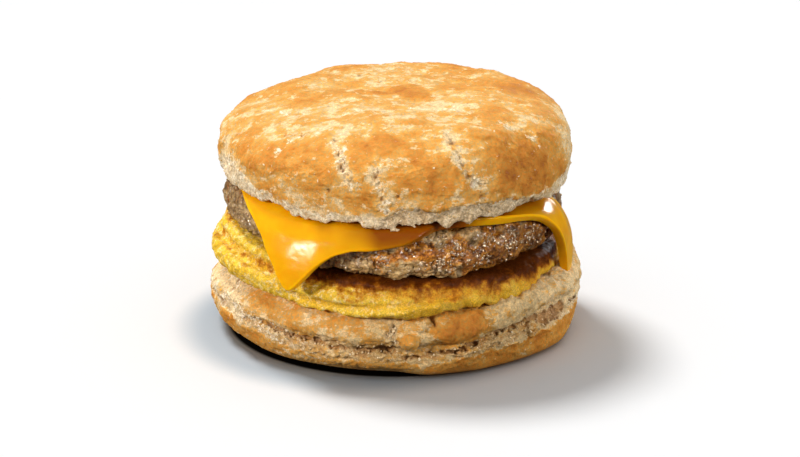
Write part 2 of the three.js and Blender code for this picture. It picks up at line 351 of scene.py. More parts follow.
def inside(points, outline):
    """How far each point is inside an outline of [angle, height] corners; below 0 is outside."""
    first = outline[0][0]
    turn, height = turned(first, angle_of(points)) * side_mm, points[:, 2]
    corners = [(turned(first, corner_turn) * side_mm, z) for corner_turn, z in outline]
    crossed = np.zeros(len(points), bool)
    for (x0, z0), (x1, z1) in zip(corners, corners[1:] + corners[:1]):
        level = (z0 > height) != (z1 > height)
        crossed ^= level & (turn < x0 + (x1 - x0) * (height - z0) / (z1 - z0 if z1 != z0 else 1))
    away = off_side_path(points, outline + outline[:1])
    return np.where(crossed, away, -away)


def ovals(points, places, soft):
    """How deep each point lies in ovals of an angle, a height, a half width, a half height and a depth."""
    deepest = np.zeros(len(points))
    for turn, level, half_width, half_height, depth in places:
        along = turned(turn, angle_of(points)) * side_mm
        off = np.hypot(along / half_width, (points[:, 2] - level) / half_height)
        deepest = np.maximum(deepest, depth * ease((1 - off) / soft + 0.5))
    return deepest


def laid_flat(points, tilt=0):
    """The side laid out flat in mm and turned, so that its first axis rises to the right at the tilt."""
    along, up = turned(270, angle_of(points)) * side_mm, points[:, 2]
    turn = math.radians(tilt)
    return np.stack([math.cos(turn) * along + math.sin(turn) * up,
                     math.cos(turn) * up - math.sin(turn) * along, 0 * up], axis=1)


print("the side is", round(360 * side_mm), "mm long when it is laid out flat")

# %% [markdown]
# ## From solid to fine mesh
# A subdivision surface rounds the facets off, but it keeps their long thin faces. A voxel remesh then
# makes even squares of one size all over, as a sculptor would ask for, and a few steps of smoothing
# take away its ripples. After the deep cuts are made it is run again, so that the walls of a fissure
# have faces too.

# %% Copy and remesh
def shaped(piece, *steps):
    """Gives the piece modifiers, each as its kind and settings, and keeps the mesh that they make."""
    for kind, settings in steps:
        modifier = piece.modifiers.new(kind, kind)
        for name, value in settings.items():
            setattr(modifier, name, value)
    made = bpy.data.meshes.new_from_object(piece.evaluated_get(bpy.context.evaluated_depsgraph_get()))
    piece.modifiers.clear()
    piece.data = made


def fine_copy(name, node):
    """A rounded copy of a solid, which is shown in its place."""
    piece = bpy.data.objects.new(name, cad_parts[node].data.copy())
    food.objects.link(piece)
    piece.data.materials.clear()
    shaped(piece, ("WELD", {"merge_threshold": 0.002 * MM}),
           ("SUBSURF", {"levels": 2, "render_levels": 2}))
    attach(piece, "root")
    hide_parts(node)
    return piece


def remeshed(piece, grid, smoothing=3):
    """Makes even squares of a size in mm of the piece's mesh."""
    shaped(piece, ("REMESH", {"mode": "VOXEL", "voxel_size": grid * MM, "use_smooth_shade": True}),
           ("SMOOTH", {"factor": 0.5, "iterations": smoothing}))
    whole(piece)


def whole(piece):
    """Takes away the tiny shells that a remesh leaves where a thin tooth breaks off."""
    ends = np.empty(2 * len(piece.data.edges), np.int32)
    piece.data.edges.foreach_get("vertices", ends)
    ends = ends.reshape(-1, 2)
    part, before = np.arange(len(piece.data.vertices)), None
    while before is None or (part != before).any():
        before = part.copy()
        least = part[ends].min(axis=1)
        np.minimum.at(part, ends[:, 0], least)
        np.minimum.at(part, ends[:, 1], least)
        part = part[part]
    names, sizes = np.unique(part, return_counts=True)
    strays = np.flatnonzero(part != names[sizes.argmax()])
    if len(strays):
        mesh = bmesh.new()
        mesh.from_mesh(piece.data)
        mesh.verts.ensure_lookup_table()
        bmesh.ops.delete(mesh, geom=[mesh.verts[k] for k in strays], context="VERTS")
        mesh.to_mesh(piece.data)
        mesh.free()
    print(piece.name, "has shed", len(names) - 1, "tiny shells with", len(strays), "points")


def refined(piece, chosen):
    """Splits each face into four where all its corners are chosen."""
    mesh = bmesh.new()
    mesh.from_mesh(piece.data)
    edges = [edge for edge in mesh.edges if chosen[edge.verts[0].index] and chosen[edge.verts[1].index]]
    bmesh.ops.subdivide_edges(mesh, edges=edges, cuts=1, use_grid_fill=True)
    mesh.to_mesh(piece.data)
    mesh.free()


biscuit_grid = 0.45
print("the squares of the biscuit's mesh are", biscuit_grid, "mm wide")

# %% [markdown]
# ## Moving points and keeping masks
# Sculpting moves points, and painting gives them values. Brushes could do both by hand, but a hand
# isn't repeatable. So the points are read as one array of places in mm, moved up or along their
# normals, and put back, and what is painted is kept as a number for each point, which the material can
# look up by its name.

# %% Push and paint
def points_of(piece):
    """The places of the piece's points in mm."""
    flat = np.empty(3 * len(piece.data.vertices), np.float32)
    piece.data.vertices.foreach_get("co", flat)
    return flat.reshape(-1, 3).astype(float) / MM


def place(piece, points):
    """Puts the piece's points at places in mm."""
    piece.data.vertices.foreach_set("co", (points * MM).astype(np.float32).ravel())
    piece.data.update()


def lifted(piece, rise):
    """Moves each point up by its own amount in mm."""
    place(piece, points_of(piece) + np.outer(rise, (0, 0, 1)))


def normals_of(piece):
    """The direction in which the surface faces at each point."""
    flat = np.empty(3 * len(piece.data.vertices), np.float32)
    piece.data.vertex_normals.foreach_get("vector", flat)
    return flat.reshape(-1, 3).astype(float)


def push(piece, amount):
    """Moves each point along the surface's normal by its own amount in mm."""
    place(piece, points_of(piece) + normals_of(piece) * amount[:, None])


def paint(piece, **values):
    """Keeps a number for each point of the piece, for its material to read by name."""
    for name, value in values.items():
        layer = piece.data.attributes.new(name, "FLOAT", "POINT")
        layer.data.foreach_set("value", np.asarray(value, np.float32))


def finished(piece, finish):
    """Gives the piece its material and smooth shading."""
    piece.data.materials.append(finish)
    piece.data.polygons.foreach_set("use_smooth", np.ones(len(piece.data.polygons), bool))
    piece.data.calc_loop_triangles()
    print(piece.name, "has", len(piece.data.loop_triangles), "triangles")


print("the solids to copy are", sorted(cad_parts))

# %% [markdown]
# ## Tools for materials
# A material is a small network: noise and the painted masks go into colour ramps, and those into the
# shader. Image textures would need a picture of dough. Noise that is read at the point's own place in
# the object needs none, has no seams and is sharp at any distance. These helpers keep each network
# short.

# %% Small helpers for materials
class Finish:
    """A material with short ways to add the nodes that the finishes below share."""

    def __init__(self, name):
        self.made = bpy.data.materials.new(name)
        self.made.use_nodes = True
        self.tree = self.made.node_tree
        self.shader = self.tree.nodes["Principled BSDF"]
        self.place = self.tree.nodes.new("ShaderNodeTexCoord").outputs["Object"]

    def add(self, kind, inputs=(), **settings):
        made = self.tree.nodes.new("ShaderNode" + kind)
        for name, value in settings.items():
            setattr(made, name, value)
        for socket, value in dict(inputs).items():
            self.feed(made.inputs[socket], value)
        return made

    def feed(self, socket, value):
        if isinstance(value, bpy.types.NodeSocket):
            self.tree.links.new(value, socket)
        elif isinstance(value, tuple) and len(value) == 3 and socket.type == "RGBA":
            socket.default_value = (*value, 1)
        else:
            socket.default_value = value

    def painted(self, name):
        return self.add("Attribute", attribute_name=name).outputs["Fac"]

    def noise(self, size, detail, roughness, seed, stretch=(1, 1, 1)):
        """Noise of 0 to 1 with bumps of a size in mm."""
        scale = tuple(1 / (size * MM * factor) for factor in stretch)
        moved = self.add("Mapping", {"Vector": self.place, "Scale": scale, "Location": (seed, seed, seed)})
        return self.add("TexNoise", {"Vector": moved.outputs[0], "Scale": 1.0, "Detail": detail,
                                     "Roughness": roughness}).outputs["Fac"]

    def math(self, operation, a, b, clamp=False):
        return self.add("Math", {0: a, 1: b}, operation=operation, use_clamp=clamp).outputs[0]

    def between(self, value, low, high, start=0.0, end=1.0):
        """The value, stretched so that low gives start and high gives end, with soft ends."""
        made = self.add("MapRange", {"Value": value, "From Min": low, "From Max": high,
                                     "To Min": start, "To Max": end}, interpolation_type="SMOOTHSTEP")
        return made.outputs["Result"]

    def blend(self, share, a, b, kind="MIX"):
        made = self.add("Mix", data_type="RGBA", blend_type=kind)
        for socket, value in ((0, share), (6, a), (7, b)):
            self.feed(made.inputs[socket], value)
        return made.outputs[2]

    def ramp(self, value, stops):
        made = self.add("ValToRGB", {"Fac": value})
        line = made.color_ramp
        line.elements[0].position, line.elements[0].color = stops[0][0], (*stops[0][1], 1)
        line.elements[1].position, line.elements[1].color = stops[-1][0], (*stops[-1][1], 1)
        for position, colour in stops[1:-1]:
            line.elements.new(position).color = (*colour, 1)
        return made.outputs["Color"]

    def bumps(self, *layers):
        """Fine relief for the light alone, as heights with the depth in mm that each stands for."""
        normal = None
        for height, depth in layers:
            made = self.add("Bump", {"Height": height, "Strength": 1.0, "Distance": depth * MM})
            if normal is not None:
                self.feed(made.inputs["Normal"], normal)
            normal = made.outputs["Normal"]
        self.feed(self.shader.inputs["Normal"], normal)

    def set(self, **values):
        for name, value in values.items():
            self.feed(self.shader.inputs[name.replace("_", " ")], value)
        return self.made


# %% [markdown]
# ## The finish of the biscuit
# Baking turns cream dough gold and then brown where it stands nearest the oven's heat, and leaves it
# pale in valleys, on torn crumb and under loose flour. One plain brown would look like plastic. The
# masks that are painted later say how baked and torn each spot is and how much painted shade lies in
# its holes, pits and crevices; noise breaks their edges up, and ramps turn that into colour. Torn crumb
# has two ramps, a pale one and a darker tan one, which is partly the crumb's own tan and partly painted
# shade on the crumb at the front, and the dull mask greys the front of the lower half.

# %% Biscuit finish
def biscuit_finish():
    finish = Finish("baked_biscuit")
    wide = finish.noise(7, 5, 0.6, seed=3.1)
    middle = finish.noise(2.2, 6, 0.62, seed=7.7)
    fine = finish.noise(0.75, 5, 0.7, seed=1.9)
    grain = finish.noise(0.34, 2, 0.5, seed=5.5)
    level = finish.math("ADD", finish.painted("bake"), finish.between(wide, 0.35, 0.65, -0.06, 0.06))
    level = finish.math("ADD", level, finish.between(middle, 0.35, 0.65, -0.08, 0.08))
    rubbed = finish.math("MULTIPLY", level, -0.42)
    level = finish.math("ADD", level, finish.between(fine, 0.38, 0.62, -0.13, 0.13))
    level = finish.math("ADD", level, finish.between(grain, 0.36, 0.64, -0.08, 0.08), clamp=True)
    crust = finish.ramp(level, [
        (0.0, (0.80, 0.60, 0.35)), (0.15, (0.78, 0.50, 0.20)), (0.35, (0.75, 0.39, 0.085)),
        (0.55, (0.68, 0.285, 0.040)), (0.72, (0.60, 0.215, 0.023)), (0.88, (0.45, 0.145, 0.014)),
        (1.0, (0.32, 0.09, 0.010))])
    flaking = finish.noise(2.2, 9, 0.74, seed=21.3, stretch=(1.7, 1.0, 0.9))
    rubbed = finish.between(finish.math("ADD", flaking, rubbed), 0.385, 0.42, 0, 0.80)
    crust = finish.blend(rubbed, crust, (0.86, 0.64, 0.35))
    crumb_level = finish.math("ADD", finish.between(middle, 0.3, 0.72),
                              finish.between(fine, 0.3, 0.7, -0.4, 0.4))
    pale_crumb = finish.ramp(crumb_level, [
        (0.0, (0.74, 0.55, 0.32)), (0.45, (0.86, 0.69, 0.45)), (1.0, (0.93, 0.80, 0.59))])
    # a darker crumb, partly the crumb's own tan and partly painted shade on the crumb at the front
    tan_and_shaded_crumb = finish.ramp(crumb_level, [
        (0.0, (0.36, 0.19, 0.065)), (0.45, (0.56, 0.34, 0.14)), (1.0, (0.74, 0.52, 0.27))])
    crumb = finish.blend(finish.painted("tan"), pale_crumb, tan_and_shaded_crumb)
    torn = finish.math("ADD", finish.painted("crumb"), finish.between(fine, 0.35, 0.65, -0.25, 0.25))
    torn = finish.math("ADD", torn, finish.between(middle, 0.35, 0.65, -0.2, 0.2), clamp=True)
    colour = finish.blend(finish.between(torn, 0.35, 0.65), crust, crumb)
    pores = finish.between(finish.noise(1.1, 3, 0.6, seed=31.7), 0.66, 0.70, 0, 0.55)
    colour = finish.blend(pores, colour, (0.58, 0.25, 0.045))
    dulled = finish.blend(1.0, colour, (0.77, 0.74, 0.66), "MULTIPLY")
    colour = finish.blend(finish.painted("dull"), colour, dulled)
    # painted shade: holes, pits, crevices, the dent behind the flake and the foot of the knob are darkened
    colour = finish.blend(finish.painted("hollow"), colour, (0.36, 0.16, 0.045))
    speckle = finish.math("MULTIPLY", finish.between(grain, 0.36, 0.64, 0.87, 1.11),
                          finish.between(fine, 0.38, 0.62, 0.80, 1.16))
    colour = finish.blend(1.0, colour, speckle, "MULTIPLY")
    finish.bumps((middle, 0.20), (flaking, 0.42), (fine, 0.22), (grain, 0.07))
    return finish.set(Base_Color=colour, Roughness=finish.between(level, 0.2, 0.9, 0.80, 0.58),
                      Specular_IOR_Level=0.2, Subsurface_Weight=0.05, Subsurface_Radius=(1.0, 0.6, 0.3),
                      Subsurface_Scale=0.6 * MM)


biscuit = biscuit_finish()
print("the biscuit's finish has", len(biscuit.node_tree.nodes), "nodes")

# %% [markdown]
# ## The lower biscuit's bands and holes
# The dough rose and tore along a level fissure, with golden crust above it, pale crumb inside it and a
# smooth tan band where it touched the tray. The tear could be cut with a Boolean, but a torn edge has
# no clean line. So the edges of the bands are given as heights round the side, and the holes as ovals
# on it.

# %% Bands and holes of the lower biscuit
crust_low = [
    [20, 9.4], [60, 9.6], [110, 9.0], [150, 10.2], [180, 12.4], [208, 13.2], [221, 12.8], [228, 11.2],
    [238, 10.0], [245, 10.6], [253, 10.8], [262, 10.4], [268, 10.4], [273, 8.0], [280, 7.8], [291, 8.4],
    [298, 10.4], [304, 10.8], [311, 11.6], [322, 12.0], [335, 11.4], [348, 10],
]
band_top = [
    [20, 7.0], [60, 6.4], [110, 6.2], [160, 8], [191, 9.6], [203, 9.2], [218, 8.2], [227, 6.8],
    [236, 5.6], [250, 5.2], [265, 5.0], [280, 4.6], [294, 5.4], [302, 6.2], [312, 6.8], [323, 7.6],
    [336, 8.0],
]
lower_holes = [
    (226, 10.2, 1.0, 0.5, 1.4), (231, 9.4, 2.2, 0.30, 1.6), (236, 9.0, 2.2, 0.32, 2.0),
    (240.5, 9.0, 1.7, 0.55, 1.9), (244.6, 9.0, 1.0, 0.60, 1.9), (250.5, 8.1, 1.3, 0.40, 1.6),
    (254, 8.2, 0.6, 0.4, 1.4), (260.4, 7.9, 2.2, 0.60, 2.1), (266, 8.3, 2.5, 0.62, 2.1),
    (275.5, 6.0, 2.3, 0.32, 1.8), (281.5, 6.9, 1.2, 0.35, 1.8), (285, 7.1, 1.0, 0.35, 2.0),
    (288.2, 7.1, 1.7, 0.60, 3.4), (291.5, 7.7, 1.0, 0.5, 3.0), (294.8, 8.6, 1.7, 0.7, 3.0),
    (304, 10.0, 2.0, 0.38, 2.2), (309, 10.5, 2.2, 0.5, 2.4), (314, 11.1, 2.0, 0.45, 2.4),
    (319.5, 10.9, 2.0, 1.0, 2.2), (324.5, 10.0, 2.4, 1.3, 2.6), (330, 9.9, 2.4, 1.4, 2.4),
    (334.5, 10.6, 1.6, 1.2, 1.8), (203.5, 16.4, 0.5, 2.0, 1.2), (196, 10.4, 2.0, 0.4, 1.0),
    (186, 9.6, 2.4, 0.4, 1.2),
]
print("the fissure has", len(lower_holes), "holes")

# %% [markdown]
# ## The lower biscuit's front
# The eye rests on the front, where the dough has a torn spot, a lifted flake with a shadow behind it, a
# round golden knob and a lump that sealed the fissure. They could be modelled as loose pieces, but they
# grew out of the dough. So each is a place or an outline on the side, and the skin is raised or sunk
# there.

# %% Front and fissures of the lower biscuit
front_tear = [(269.6, 13.6, 1.1, 1.1, 1.0), (268.6, 12.0, 1.5, 1.2, 1.0), (269.8, 10.4, 1.0, 0.8, 0.7)]
flake_shadow = [(282.6, 14.2), (281.8, 15.4), (280.2, 16.6)]
back_fissures = [
    [(341, 9.6), (350, 8.9), (5, 8.6), (28, 9.0)], [(36, 9.2), (62, 8.2), (88, 8.2), (104, 8.4)],
    [(110, 7.8), (131, 8.8), (150, 9.4), (168, 10.4), (180, 10)],
]
knob = (274.8, 10.3)
flake_outline = [
    (271, 13.3), (273, 16.4), (279, 16.2), (282.3, 14.4), (279.8, 13.2), (279, 12.4), (275, 12.8),
]
golden_lump = (316.5, 9.0)
pointed_edge = (299.4, 12.6)  # where the lifted skin at the right of the front ends in a point
small_fold = [(304, 8.4), (306.5, 6.6), (311.5, 6.6)]
front_fissures = [
    [(223, 10.8), (229, 9.9), (236, 9.1), (244, 8.9), (250, 8.2), (258, 8.0), (268, 8.2), (270.5, 7.4)],
    [(273, 6.2), (279, 6.4), (286, 7.0), (292, 7.8), (298, 9.0), (304, 10.0), (312, 10.9), (320, 11.0),
     (332, 10.2)],
]
rim_rise = [
    [20, 0], [180, 0], [230, 0], [246, -0.9], [275, -0.9], [288, 0], [300, 1.1], [315, 2.0], [330, 2.4],
    [345, 1.8],
]
lower_golden = [
    (-34, -29, 14, 4, 0.12), (-30, -33, 13.5, 5, 0.18), (-24, -37, 12, 4.5, 0.12),
    (-16, -41, 14, 4, 0.12), (-8, -43, 14, 4, 0.12), (3.5, -45, 10.4, 2.4, 0.20),
    (11, -43, 14, 4, 0.22), (16, -42, 12.5, 4, 0.30), (20, -39, 14.5, 3, 0.25),
    (33, -32, 9.2, 1.8, 0.50), (-46, -6, 10, 2.5, 0.40), (-43, -15, 13, 2.5, 0.22),
    (-46, 2, 12, 3, 0.25), (44, 6, 13, 6, 0.25), (34, 30, 13, 8, 0.4), (14, 43, 13, 7, 0.3),
    (-8, 44, 13, 8, 0.4), (-30, 33, 14, 7, 0.35), (-43, 16, 14, 6, 0.2),
]
print("there are", len(front_fissures), "fissures at the front and", len(back_fissures), "at the back")

# %% [markdown]
# ## The lower biscuit's masks
# The bands, the fissure and the holes each become a mask: a value for each point that says how much of
# it is there. Straight edges would look cut, so every edge is first bent by noise of two sizes, a
# ragged one and a finer fringe. The same masks then move the points and choose the colours, so that
# both agree.

# %% Masks of the lower biscuit
def lower_masks(points):
    angle, height, radius = angle_of(points), points[:, 2], radius_of(points)
    ragged = rough(points, 3.2, 31)
    fringe = rough(points, 1.1, 33, 2)
    side = ease((radius - 36) / 4) * ease((height - 1.5) / 2)
    under = around(crust_low, angle) + 0.7 * ragged + 0.35 * fringe - height
    over_band = height - around(band_top, angle) - 0.5 * ragged - 0.2 * fringe
    crumb = ease(under / 1.1) * ease(over_band / 0.8 + 0.5)
    bent = points + 0.35 * np.stack([fringe, 0 * fringe, rough(points, 0.9, 36, 2)], axis=1)
    holes = ovals(bent, lower_holes, 0.55)
    line = np.minimum.reduce([off_side_path(bent, path) for path in front_fissures]) + 0.25 * ragged
    holes = np.maximum(holes, 0.9 * bell(np.maximum(0, line), 0.32))
    tear = np.minimum.reduce([off_side_path(points, path) for path in back_fissures])
    holes = np.maximum(holes, 2.6 * ease((0.5 * (1 + rough(points, 2.6, 35, 3)) - tear) / 0.4 + 0.2))
    return {"angle": angle, "height": height, "side": side, "under": under, "crumb": crumb,
            "band": ease(-over_band / 0.5), "holes": holes, "ragged": ragged, "fringe": fringe}


def lower_form():
    """The lower half with its large forms: brim, foot, bulge, bands, fissure and pleats."""
    piece = fine_copy("lower_biscuit_crust", "lower_biscuit")
    points = points_of(piece)
    brim = ease((points[:, 2] - 11) / 4.5) * ease((radius_of(points) - 40.5) / 2)
    foot = ease((6 - points[:, 2]) / 3) * ease((radius_of(points) - 37) / 4) * ease(points[:, 2] / 1.5)
    sagging = within(angle_of(points), 276, 350, 14) * foot
    lifted(piece, around(rim_rise, angle_of(points)) * brim - 0.6 * sagging)
    remeshed(piece, biscuit_grid)
    points = points_of(piece)
    m = lower_masks(points)
    amount = 0.20 * m["band"] * ease((m["height"] - 1.5) / 2) - 0.25 * m["crumb"] - 0.45 * m["holes"]
    amount += 0.22 * rough(points, 6, 53, 3)
    amount += 0.9 * within(m["angle"], 335, 15, 20) * bell(m["height"] - 12, 5)
    pleated = within(m["angle"], 306, 344, 10) * ease((m["height"] - 11.0 + 0.6 * m["ragged"]) / 1.2)
    amount += 0.55 * pleated * rough(laid_flat(points, 40), 1.6, 47, 3, (3, 1, 1))
    fibres = within(m["angle"], 184, 214, 8) * (1 - m["band"])
    amount += 0.45 * fibres * rough(points, 2.2, 49, 4, (1, 1, 1.5))
    push(piece, amount * m["side"])
    remeshed(piece, biscuit_grid, 1)
    points = points_of(piece)
    refined(piece, within(angle_of(points), 184, 354, 4) * ease((radius_of(points) - 38) / 2) > 0.5)
    return piece


lower_crust = lower_form()
print("the lower biscuit has", len(lower_crust.data.vertices), "points to sculpt")

# %% [markdown]
# ## The lower biscuit's front forms
# Each form on the front is a gentle rule of its own: the knob is half a ball, the flake grows thicker
# toward its tip and ends in a sharp edge, the torn spot is a rough hollow. A sculptor would draw them
# with three brushes. As rules they keep their size in mm, whatever the mesh, and the colours can use
# them again.

# %% Front forms of the lower biscuit
def lower_front(points, m):
    """How far the forms on the front stand out. What the colours need again is added to the masks."""
    angle, height, fringe = m["angle"], m["height"], m["fringe"]
    m["torn_open"] = ovals(points, front_tear, 0.5)
    m["behind_flake"] = bell(off_side_path(points, flake_shadow), 0.5)
    m["off_knob"] = off_side_path(points, [knob, knob])
    m["off_lump"] = off_side_path(points, [golden_lump, golden_lump])
    m["in_flake"] = inside(points, flake_outline)
    amount = m["torn_open"] * (0.35 * rough(points, 0.9, 63, 2) - 1.1) - 0.8 * m["behind_flake"]
    edge_turn = pointed_edge[0] - 0.55 * np.abs(height - pointed_edge[1])
    left_of_edge = ease(0.5 + (edge_turn - angle + 0.6 * fringe) / 0.6)
    above_fissure = ease((height - 8.8 + 0.3 * fringe) / 0.5)
    amount += 0.65 * within(angle, 284, 308, 5) * above_fissure * left_of_edge
    toward_tip = 0.25 + 0.75 * ease((angle - 271) / 10)
    amount += 1.25 * toward_tip * ease(m["in_flake"] / 0.3 + 0.2 * fringe)
    amount += 0.9 * np.sqrt(np.clip(1 - (m["off_knob"] / (2.2 + 0.15 * fringe)) ** 2, 0, 1))
    amount += 0.8 * ease((1.9 - m["off_lump"] + 0.5 * fringe) / 0.8)
    return amount + 0.5 * bell(off_side_path(points, small_fold), 0.4)


points = points_of(lower_crust)
masks = lower_masks(points)
front = lower_front(points, masks)
print("the front forms reach from", round(front.min(), 1), "to", round(front.max(), 1), "mm")

# %% [markdown]
# ## The lower biscuit's crumb
# Torn crumb is made of small layers, holes and grains, and it shears into slanting fibres where the
# dough was pulled apart at the right. Displacement in the shader would vanish from a saved model. So
# the relief is put into the mesh: steps for the layers, noise for the holes and a Voronoi pattern for
# the grains.

# %% Crumb of the lower biscuit
def lower_relief(points, m):
    """The relief of crust and crumb in mm. What the colours need again is added to the masks."""
    angle, height = m["angle"], m["height"]
    amount = 0.10 * bell(m["under"] + 0.3, 0.5) * (1 - m["band"]) - 0.4 * m["holes"]
    layer = (height + 1.1 * rough(points, 7, 45, 3)) / 1.3
    amount += 0.40 * m["crumb"] * (np.floor(layer) + 0.5 - layer) * ease(0.7 + rough(points, 4, 46, 2))
    pleated = within(angle, 300, 348, 10) * ease((height - 10.6 + 0.6 * m["ragged"]) / 1.2)
    amount += 0.30 * pleated * rough(laid_flat(points, 42), 1.1, 48, 4, (2.6, 1, 1))
    near = grains(points, 1.2, 3)[0]
    loose = np.maximum(m["crumb"], 0.5 * bell(m["under"] + 0.8, 1.2)) * (1 - m["band"])
    layered = rough(points, 1.5, 59, 4, (1.8, 1.8, 0.8))
    sheared = within(angle, 292, 350, 10)
    layered = mix(layered, rough(laid_flat(points, 36), 1.1, 60, 4, (2.6, 1, 1)), sheared)
    crevices = 0.24 * layered + 0.16 * (0.5 - near) + 0.12 * rough(points, 0.9, 61, 2)
    amount += loose * crevices
    amount += (1 - loose) * (0.17 * rough(points, 1.3, 67, 4) + 0.06 * rough(points, 4, 71, 2))
    # painted shade: the crevices between crumbs are darkened in the colour
    m["between_crumbs"] = 0.45 * loose * ease(-crevices / 0.16 - 0.1)
    return amount


relief = lower_relief(points, masks)
push(lower_crust, (front + relief) * masks["side"])
print("crust and crumb rise and fall by", round(float(relief.std()), 2), "mm")

# %% [markdown]
# ## The lower biscuit's colours
# The crust is palest at the left, golden in patches at the front, and warm along the foot. A gradient
# could give the foot's colour, but the golden patches sit where the dough stood out. So the bake of
# each point is summed from the masks and a few soft spots, given in mm like everything else. Painted
# shade darkens the holes, the dent behind the flake, the foot of the knob and the gaps between crumbs.

# %% Colours of the lower biscuit
def lower_colours(points, m):
    """The masks that the material reads, worked out at the places from before the last push."""
    angle, height, ragged = m["angle"], m["height"], m["ragged"]
    golden = patches(strayed(points, 1.3, 5, 37), lower_golden)
    pale = within(angle, 178, 213, 6) * (1 - m["band"])
    warm_base = m["band"] * mix(0.16, 0.30, within(angle, 280, 350, 20))
    bake = 0.27 + golden + warm_base + 0.09 * rough(points, 4, 75, 4) - 0.20 * pale
    bake += 0.04 * within(angle, 256, 300, 20) * (1 - m["band"])
    bake += 0.22 * bell(m["off_lump"], 1.6)
    bake -= 0.10 * bell(m["under"] + 0.5, 0.9) + 0.12 * within(angle, 305, 352, 12) * (1 - m["band"])
    bake = mix(bake, 0.30 + 0.06 * ragged, ease(m["in_flake"] / 0.4 + 0.5))
    deep = ease(m["holes"]) * m["side"]
    shadow_under_knob = bell(m["off_knob"] - 2.5, 0.35) * ease(0.5 + (knob[1] - height) / 2)
    loose_crumb = 0.58 * m["crumb"] * (0.8 + 0.4 * ragged) * (m["off_knob"] > 2.2)
    pale_side = 0.5 * pale * ease(0.5 + rough(points, 3.5, 77, 4))
    # painted shade in the holes, behind the flake, under the knob and between the crumbs
    hollows = [0.7 * deep, 0.7 * m["behind_flake"], 0.5 * shadow_under_knob, m["between_crumbs"]]
    return {"bake": bake,
            "crumb": np.maximum.reduce([loose_crumb, 0.9 * m["torn_open"], pale_side]),
            "tan": within(angle, 236, 334, 24) * (1 - 0.6 * m["torn_open"]),
            "dull": within(angle, 254, 322, 20) * (1 - bell(m["off_knob"], 2.6)),
            "hollow": np.maximum.reduce(hollows)}


paint(lower_crust, **lower_colours(points, masks))
finished(lower_crust, biscuit)

# %% [markdown]
# ## The finish of the egg
# Cooked egg is yellow with paler flecks of white, moist, and browned where it touched the pan. A glossy
# coat would look like varnish, and a flat yellow like rubber. So a little light goes under the surface,
# the shine is weak, and three masks decide the rest: how browned a spot is, with painted shade at the
# dark end of the band under the patty; how much painted shade lies on it; and where pale flecks lie,
# which are partly egg white and partly painted highlights, fewer on the shaded right.

# %% Egg finish
def egg_finish():
    finish = Finish("cooked_egg")
    wide = finish.noise(5, 4, 0.55, seed=2.2)
    middle = finish.noise(1.6, 5, 0.6, seed=8.4)
    fine = finish.noise(0.5, 4, 0.6, seed=4.6)
    yellow = finish.ramp(finish.between(wide, 0.3, 0.7), [
        (0.0, (0.76, 0.43, 0.022)), (0.5, (0.82, 0.51, 0.035)), (1.0, (0.86, 0.58, 0.07))])
    # pale flecks, partly egg white and partly painted highlights, fewer on the shaded right
    pale = finish.between(finish.noise(1.5, 9, 0.76, seed=14.2), 0.51, 0.59, 0, 0.75)
    pale_flecks_and_highlights = finish.math("MULTIPLY", pale, finish.painted("flecks_and_highlights"))
    yellow = finish.blend(pale_flecks_and_highlights, yellow, (0.94, 0.79, 0.38))
    browned = finish.math("ADD", finish.painted("browning_and_shade"), finish.between(middle, 0.3, 0.7, -0.15, 0.15))
    browned = finish.math("ADD", browned, finish.between(fine, 0.3, 0.7, -0.10, 0.10), clamp=True)
    # the dark end of this ramp is painted shade under the patty, the rest is browning
    browning_and_shade = finish.ramp(browned, [
        (0.0, (0.74, 0.40, 0.030)), (0.40, (0.54, 0.22, 0.014)), (0.70, (0.22, 0.056, 0.002)),
        (1.0, (0.075, 0.015, 0.0005))])
    # painted shade: the grooves and the right side are turned a deeper yellow
    in_shade = finish.math("MULTIPLY", finish.painted("shade"), 0.55)
    yellow = finish.blend(in_shade, yellow, (0.48, 0.20, 0.018))
    colour = finish.blend(finish.between(browned, 0.08, 0.50), yellow, browning_and_shade)
    grain = finish.noise(0.32, 2, 0.5, seed=7.1)
    speckle = finish.math("MULTIPLY", finish.between(grain, 0.36, 0.64, 0.84, 1.14),
                          finish.between(fine, 0.36, 0.64, 0.84, 1.12))
    colour = finish.blend(1.0, colour, speckle, "MULTIPLY")
    finish.bumps((middle, 0.20), (fine, 0.20), (grain, 0.08))
    return finish.set(Base_Color=colour, Roughness=finish.between(fine, 0.3, 0.7, 0.36, 0.52),
                      Specular_IOR_Level=0.10, Subsurface_Weight=0.12,
                      Subsurface_Radius=(1.0, 0.6, 0.15), Subsurface_Scale=1.0 * MM)


moist_egg = egg_finish()
print("the egg's finish has", len(moist_egg.node_tree.nodes), "nodes")

# %% [markdown]
# ## The folds of the egg
# The egg is cooked flat and folded, so it shows a bright yellow lower layer with a lip, a groove, and
# an upper layer. A thin sheet could be folded by simulation, but its folded form is in the solid
# already. So only the grooves are deepened along their lines, and the ruffles, bubbles and pores are
# pushed in.

# %% Egg form
egg_brown = [
    (-13, -41, 21.4, 2.4, 0.34), (-9, -42, 21.2, 2.4, 0.38), (-5, -42.5, 21.4, 2.4, 0.38),
    (0, -42, 22.0, 2.4, 0.34), (6, -42, 21.6, 2.6, 0.34), (14, -41, 21.8, 2.8, 0.40),
    (24, -36, 21, 4, 0.35), (34, -26, 20, 4, 0.35), (30, 27, 22.5, 4, 0.6), (4, 42, 23, 4, 0.7),
    (-25, 34, 23.5, 4, 0.6),
]
brown_low = [
    [5, 20.8], [25, 23], [140, 24], [180, 30], [232, 30], [238, 23.6], [250, 23.2], [275, 23.8],
    [300, 23.4], [312, 22.8], [323, 21.6], [334, 21.2], [345, 20.8],
]
left_groove = [(180, 25.2), (190, 25.0), (200, 24.7), (210, 24.3), (219, 23.8), (226, 23.4)]
front_groove = [(234, 19.8), (241, 19.1), (249, 18.5), (259, 18.2), (272, 19.4), (284, 20.4), (291, 21.0)]
lip_top = [[230, 19.8], [241, 19.1], [249, 18.5], [259, 18.2], [272, 19.4], [292, 21.0]]
egg_grid = 0.45


